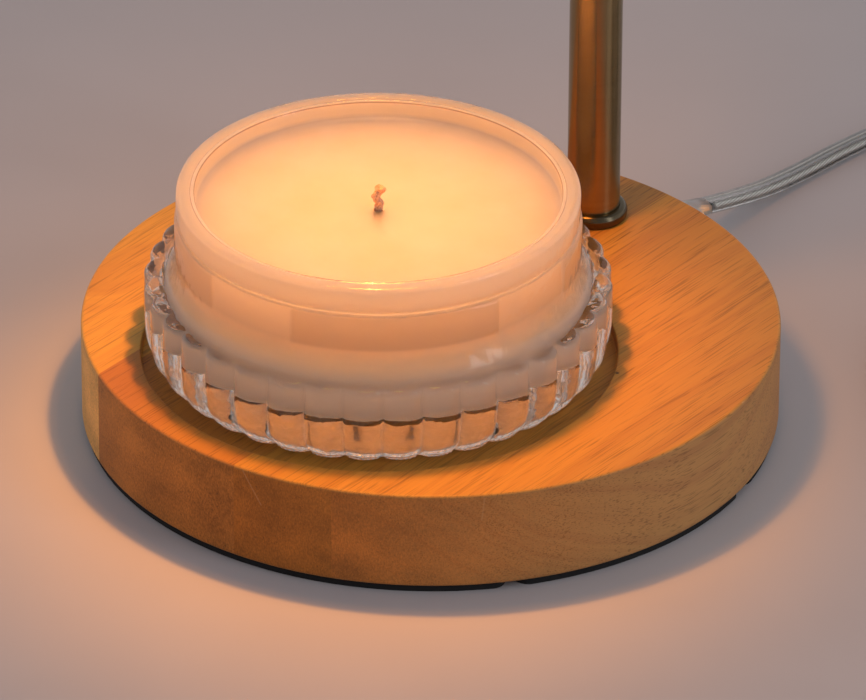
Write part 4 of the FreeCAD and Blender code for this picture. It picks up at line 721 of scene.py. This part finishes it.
def softWax(spec):
    # cream wax that lets light far in, with milkier glass round it and a satin skin; painted light by height
    # makes the core's foot glow brighter and the neck darker, and painted lines mark the rim
    material, tree, place = startMaterial("cream_wax")
    cloud = addNode(tree, "TexNoise", {"Vector": place, "Scale": 0.06, "Detail": 3})
    wax = addNode(tree, "ValToRGB", {0: cloud}, stops=[(0.3, spec["cloudy"]), (0.7, spec["tone"])])
    middle = addNode(tree, "VectorMath", {0: place, 1: (*jarSpec["at"], 0)}, operation="SUBTRACT")
    level = addNode(tree, "VectorMath", {0: middle, 1: (1, 1, 0)}, operation="MULTIPLY")
    out = addNode(tree, "VectorMath", {0: level}, operation="LENGTH")
    (skinLow, skinHigh), (ringLow, ringHigh), (windowLow, windowHigh) = [
        spec[key] for key in ("skinAt", "ringSpan", "windowAt")]
    share = addNode(tree, "MapRange", {0: out.outputs["Value"], 1: skinLow, 2: skinHigh})
    across = addNode(tree, "MapRange", {0: out.outputs["Value"], 1: ringLow, 2: ringHigh})
    # the rim by radius, with its painted highlight line and painted dark edge lines
    rings = addNode(tree, "ValToRGB", {0: across}, stops=[
        ((radius - ringLow) / (ringHigh - ringLow), ringTone) for radius, ringTone in spec["rings"]])
    axes = addNode(tree, "SeparateXYZ", {0: middle})
    low, tall = jarSpec["low"], spec["tall"]
    upward = addNode(tree, "MapRange", {0: axes.outputs[2], 1: low, 2: low + tall})
    # tones by height: painted light on the core, brightest at the foot and darker over the neck
    sides = addNode(tree, "ValToRGB", {0: upward},
                    stops=[(height / tall, sideTone) for height, sideTone in spec["sides"]])
    lugged = addNode(tree, "MapRange", {0: out.outputs["Value"], 1: windowLow, 2: windowHigh})
    necked, rimmed, capped = [
        addNode(tree, "MapRange", {0: axes.outputs[2], 1: low + spec[key][0], 2: low + spec[key][1]})
        for key in ("neckAt", "rimAt", "capAt")]
    windowed = addNode(tree, "Math", {0: lugged, 1: necked}, operation="MULTIPLY")
    skinned = addNode(tree, "Math", {0: share, 1: rimmed}, operation="MULTIPLY")
    depth = addNode(tree, "MapRange", {0: skinned, 3: spec["depth"], 4: spec["skinDepth"]})
    walls = addNode(tree, "Mix", {0: windowed, 6: sides, 7: spec["window"]}, data_type="RGBA")
    milky = addNode(tree, "Mix", {0: capped, 6: walls.outputs[2], 7: rings}, data_type="RGBA")
    tone = addNode(tree, "Mix", {0: share, 6: wax, 7: milky.outputs[2]}, data_type="RGBA")
    skin = addNode(tree, "TexNoise", {"Vector": place, "Scale": 0.5, "Detail": 4})
    bump = addNode(tree, "Bump", {"Height": skin, "Strength": 0.12, "Distance": 0.0002})
    return closeMaterial(material, tree, {
        "Base Color": tone.outputs[2], "Subsurface Weight": 1.0, "Subsurface Radius": spec["radius"],
        "Subsurface Scale": depth.outputs[0], "Roughness": 0.42, "Specular IOR Level": 0.3, "Normal": bump})


def candleWax(spec, material):
    # one closed body, hollow at the wick, that rises into the glass of the neck as its milky core
    profile = numpy.array(spec["well"] + spec["top"] + spec["rim"] + spec["side"], float)
    profile[:, 1] += jarSpec["low"]

    def withLugs(radius, height, angles):
        lugs = jarSpec["lugDepth"] * lugShare(jarSpec, angles, height - jarSpec["low"])
        return radius + lugs * (radius > spec["lugFrom"]), height

    mesh = turnedMesh("wax_body", profile[::-1], 480, jarSpec["at"], shape=withLugs)
    placePiece("wax_body", mesh, "candle", "wax", material, "candle_wax")


clearGlass, creamWax = pressedGlass(), softWax(waxSpec)
ribbedJar(jarSpec, clearGlass)
candleWax(waxSpec, creamWax)

wickSpec = {"radius": 0.62, "low": 8.2, "top": 40.8, "lean": (0.3, -0.5), "pitch": 3.4, "wind": 0.42,
            "swayFrom": 35, "swayOver": 6, "sway": (0.75, 0.6), "wave": (1.6, 1.9), "steps": 150}


def cottonWick():  # off-white braid, creamy from wax, with fine fibres
    material, tree, place = startMaterial("cotton_braid")
    fibres = addNode(tree, "TexNoise", {"Vector": stretched(tree, place, 0.15, 0.15, 0.5), "Scale": 1})
    tone = addNode(tree, "ValToRGB", {0: fibres}, stops=[(0.3, "#B98058"), (0.7, "#F0D0B0")])
    bump = addNode(tree, "Bump", {"Height": fibres, "Strength": 0.8, "Distance": 0.0001})
    return closeMaterial(material, tree, {"Base Color": tone, "Roughness": 0.9, "Normal": bump})


def braidedWick(spec, material):
    # three strands wound about a line that sways, each a helix 120 degrees from the next
    heights = numpy.linspace(spec["low"], spec["top"], spec["steps"])
    share = numpy.clip((heights - spec["swayFrom"]) / spec["swayOver"], 0, 1)
    (leanX, leanY), (swayX, swayY), (waveX, waveY) = spec["lean"], spec["sway"], spec["wave"]
    middle = numpy.stack([share * leanX + swayX * share * numpy.sin(heights * waveX),
                          share * leanY + swayY * share * numpy.cos(heights * waveY), heights], -1)
    parts = []
    for strand in range(3):
        phase = heights / spec["pitch"] * 2 * math.pi + strand * 2 * math.pi / 3
        path = middle + spec["wind"] * numpy.stack([numpy.cos(phase), numpy.sin(phase), 0 * phase], -1)
        path += numpy.array([jarSpec["at"][0], jarSpec["at"][1], jarSpec["low"]])
        sections = ringPoints(spec["radius"], 12)
        parts.append(gridMesh("strand", sweptGrid(path * mm, sections, numpy.array([1.0, 0, 0]))))
    placePiece("wick_braid", joined("wick_braid", parts), "candle", "cotton", material, "candle_wick")


braid = cottonWick()
braidedWick(wickSpec, braid)
print("stage: candle")


# materials of the pieces kept from the frame

def madeMaterial(name, tone, dark, size, rough, bumpDepth=0.00002, **surface):
    # two close tones by noise of the size in mm, with the roughness and a fine bump from the same noise
    material, tree, place = startMaterial(name)
    noise = addNode(tree, "TexNoise", {"Vector": place, "Scale": 1 / size, "Detail": 4})
    colour = addNode(tree, "ValToRGB", {0: noise}, stops=[(0.3, dark), (0.7, tone)])
    dull = addNode(tree, "MapRange", {0: noise, 3: rough[0], 4: rough[1]})
    fine = addNode(tree, "TexNoise", {"Vector": place, "Scale": 4 / size, "Detail": 3})
    bump = addNode(tree, "Bump", {"Height": fine, "Strength": 0.4, "Distance": bumpDepth})
    inputs = {"Base Color": colour, "Roughness": dull.outputs[0], "Normal": bump}
    inputs.update({key.replace("_", " "): value for key, value in surface.items()})
    return closeMaterial(material, tree, inputs)


nodeMaterials = {
    # black sponge rubber: matt, open pored
    "foam_rubber": madeMaterial("foam_rubber_black", "#1B1B1C", "#0F0F10", 0.8, (0.85, 0.98), 0.0002),
    # grey rolled steel, softly dull
    "steel_plate": madeMaterial("rolled_steel_plate", "#8B8E92", "#6F7276", 6, (0.35, 0.5), Metallic=1.0),
    # bright plated steel with small hard glints
    "zinc_steel": madeMaterial("bright_zinc_plate", "#C9CBCC", "#A9ACAF", 3, (0.22, 0.36), Metallic=1.0),
    # brown wire jacket, half matt
    "lead_insulation": madeMaterial("lead_insulation_brown", "#6B4A34", "#563A28", 4, (0.4, 0.5)),
    # cloudy moulded vinyl with a wide soft glint
    "clear_pvc": mouldedVinyl,
    # black woven tape, matt and fuzzy
    "hook_loop": madeMaterial("hook_and_loop_tape", "#26272A", "#141517", 0.5, (0.85, 0.95), 0.0003),
    # warm white moulding with a fine satin grain
    "white_abs": madeMaterial("white_abs_satin", "#ECECE8", "#E2E2DE", 0.6, (0.42, 0.55), 0.00003),
    # green lacquered board
    "circuit_board": madeMaterial("circuit_board_green", "#2F6A45", "#22543A", 5, (0.35, 0.5)),
    # milky white nylon with a waxy sheen
    "white_nylon": madeMaterial("white_nylon", "#E4E1D8", "#D8D4CA", 5, (0.4, 0.5)),
    # black moulding, half matt
    "black_plastic": madeMaterial("black_plastic", "#202124", "#17181A", 1, (0.4, 0.55)),
    # pale bright nickel, nearly a mirror
    "plated_contact": madeMaterial("nickel_plate", "#D6D2CA", "#BDB8B0", 5, (0.16, 0.26), Metallic=1.0),
    # aged brass, satin and without brush lines
    "antique_brass": madeMaterial("antique_brass_satin", "#9E8963", "#8C7754", 1.5, (0.24, 0.34), Metallic=1.0),
    # off-white glaze with a soft shine
    "ceramic": madeMaterial("glazed_ceramic", "#EDEAE2", "#DEDACF", 8, (0.2, 0.35)),
    # grey unglazed ceramic, dry and matt
    "bulb_ceramic": madeMaterial("bulb_ceramic_grey", "#CFCBC2", "#B9B5AC", 2, (0.5, 0.65)),
    # silvered glass, a slightly dull mirror
    "reflector_glass": madeMaterial("mirrored_reflector", "#E8E6E2", "#D4D2CE", 3, (0.08, 0.16), Metallic=1.0),
    # clear front glass with a faint ripple
    "lens_glass": madeMaterial("lens_glass", "#F6F6F4", "#ECECEA", 2, (0.04, 0.12), 0.0001,
                               Transmission_Weight=1.0, IOR=1.47),
    # under the finer pieces, which wear the same four
    "clear_glass": clearGlass, "wax": creamWax, "cotton": braid, "rubberwood": oiledWood,
}
for part in frame["record"]["subparts"]:
    node = frame["nodes"][part["node"]]
    node.data.materials.clear()
    node.data.materials.append(nodeMaterials[part["material_slot"]])
print("stage: kept pieces")


# floor and light

def paleFloor():  # a plain pale sheet with a soft, slightly mottled finish
    material, tree, place = startMaterial("pale_floor")
    cloud = addNode(tree, "TexNoise", {"Vector": place, "Scale": 0.02, "Detail": 2})
    tone = addNode(tree, "ValToRGB", {0: cloud}, stops=[(0.3, "#C2C0C4"), (0.7, "#C6C4C8")])
    rough = addNode(tree, "MapRange", {0: cloud, 3: 0.5, 4: 0.56})
    return closeMaterial(material, tree, {"Base Color": tone, "Roughness": rough.outputs[0],
                                          "Specular IOR Level": 0.3})


floorEdges = (-8.0, 8.0)  # metres, far enough that no side view shows its end
floorGrid = numpy.array([[(x, y, 0) for x in floorEdges] for y in floorEdges])
floorMesh = gridMesh("floor", floorGrid, wrapColumns=False)
floor = bpy.data.objects.new("floor", floorMesh)
floorMesh.materials.append(paleFloor())
scene.collection.objects.link(floor)

lightSpec = {
    "worldTone": "#FFFBFD", "world": [(0, 0.74), (0.35, 0.49), (1, 0.27)], "warm": (1.0, 0.36, 0.06, 1),
    "dimWay": (0.621, -0.784, 0), "dim": (1.08, 0.62), "dimSpan": (0.1, 0.9),  # the room is darker on that side
    "bulb": (-12, -5, 214), "aim": (3.9, -30.8, 0), "beam": 59, "beamPower": 1.85, "beamRadius": 7,
    "halo": (-8, -9, 208), "haloRadius": 28, "haloPower": 0.2,
    "window": (1180, 165, 480), "windowSize": (0.3, 1.2), "windowPower": 2.4,
}


def addLight(name, kind, power, tone, place, target, **facts):  # a light at place that shines at target
    data = bpy.data.lights.new(name, kind)
    data.energy, data.color = power, linear(tone)[:3]
    for fact, value in facts.items():
        setattr(data, fact, value)
    light = bpy.data.objects.new(name, data)
    light.location = Vector(place) * mm
    light.rotation_mode = "QUATERNION"
    light.rotation_quaternion = (Vector(place) - Vector(target)).to_track_quat("Z", "Y")
    light.visible_camera = False
    scene.collection.objects.link(light)
    return light


world = bpy.data.worlds.new("soft_room")
scene.world = world
world.use_nodes = True
world.node_tree.nodes.clear()
room = world.node_tree
way = addNode(room, "TexCoord").outputs["Generated"]
upward = addNode(room, "SeparateXYZ", {0: way})
bright = addNode(room, "ValToRGB", {0: upward.outputs[2]}, stops=lightSpec["world"])
toward = addNode(room, "VectorMath", {0: way, 1: lightSpec["dimWay"]}, operation="DOT_PRODUCT")
dim = addNode(room, "MapRange", {0: toward.outputs["Value"], 1: lightSpec["dimSpan"][0],
                                 2: lightSpec["dimSpan"][1], 3: lightSpec["dim"][0], 4: lightSpec["dim"][1]})
strength = addNode(room, "Math", {0: bright, 1: dim}, operation="MULTIPLY")
glow = addNode(room, "Background", {"Color": lightSpec["worldTone"], "Strength": strength})
addNode(room, "OutputWorld", {"Surface": glow})
beam = addLight("bulb_beam", "SPOT", lightSpec["beamPower"], lightSpec["warm"], lightSpec["bulb"],
                lightSpec["aim"], spot_size=math.radians(lightSpec["beam"]), spot_blend=1.0,
                shadow_soft_size=lightSpec["beamRadius"] * mm)
halo = addLight("bulb_halo", "AREA", lightSpec["haloPower"], lightSpec["warm"], lightSpec["halo"],
                (*lightSpec["halo"][:2], 0), shape="DISK", size=2 * lightSpec["haloRadius"] * mm)
beam.parent = halo.parent = frame["bodies"]["arm"]
addLight("window_soft", "AREA", lightSpec["windowPower"], "#F2F6FF", lightSpec["window"], (0, 0, 20),
         shape="RECTANGLE", size=lightSpec["windowSize"][0], size_y=lightSpec["windowSize"][1])

scene.view_settings.view_transform = "Standard"
print("stage: light")
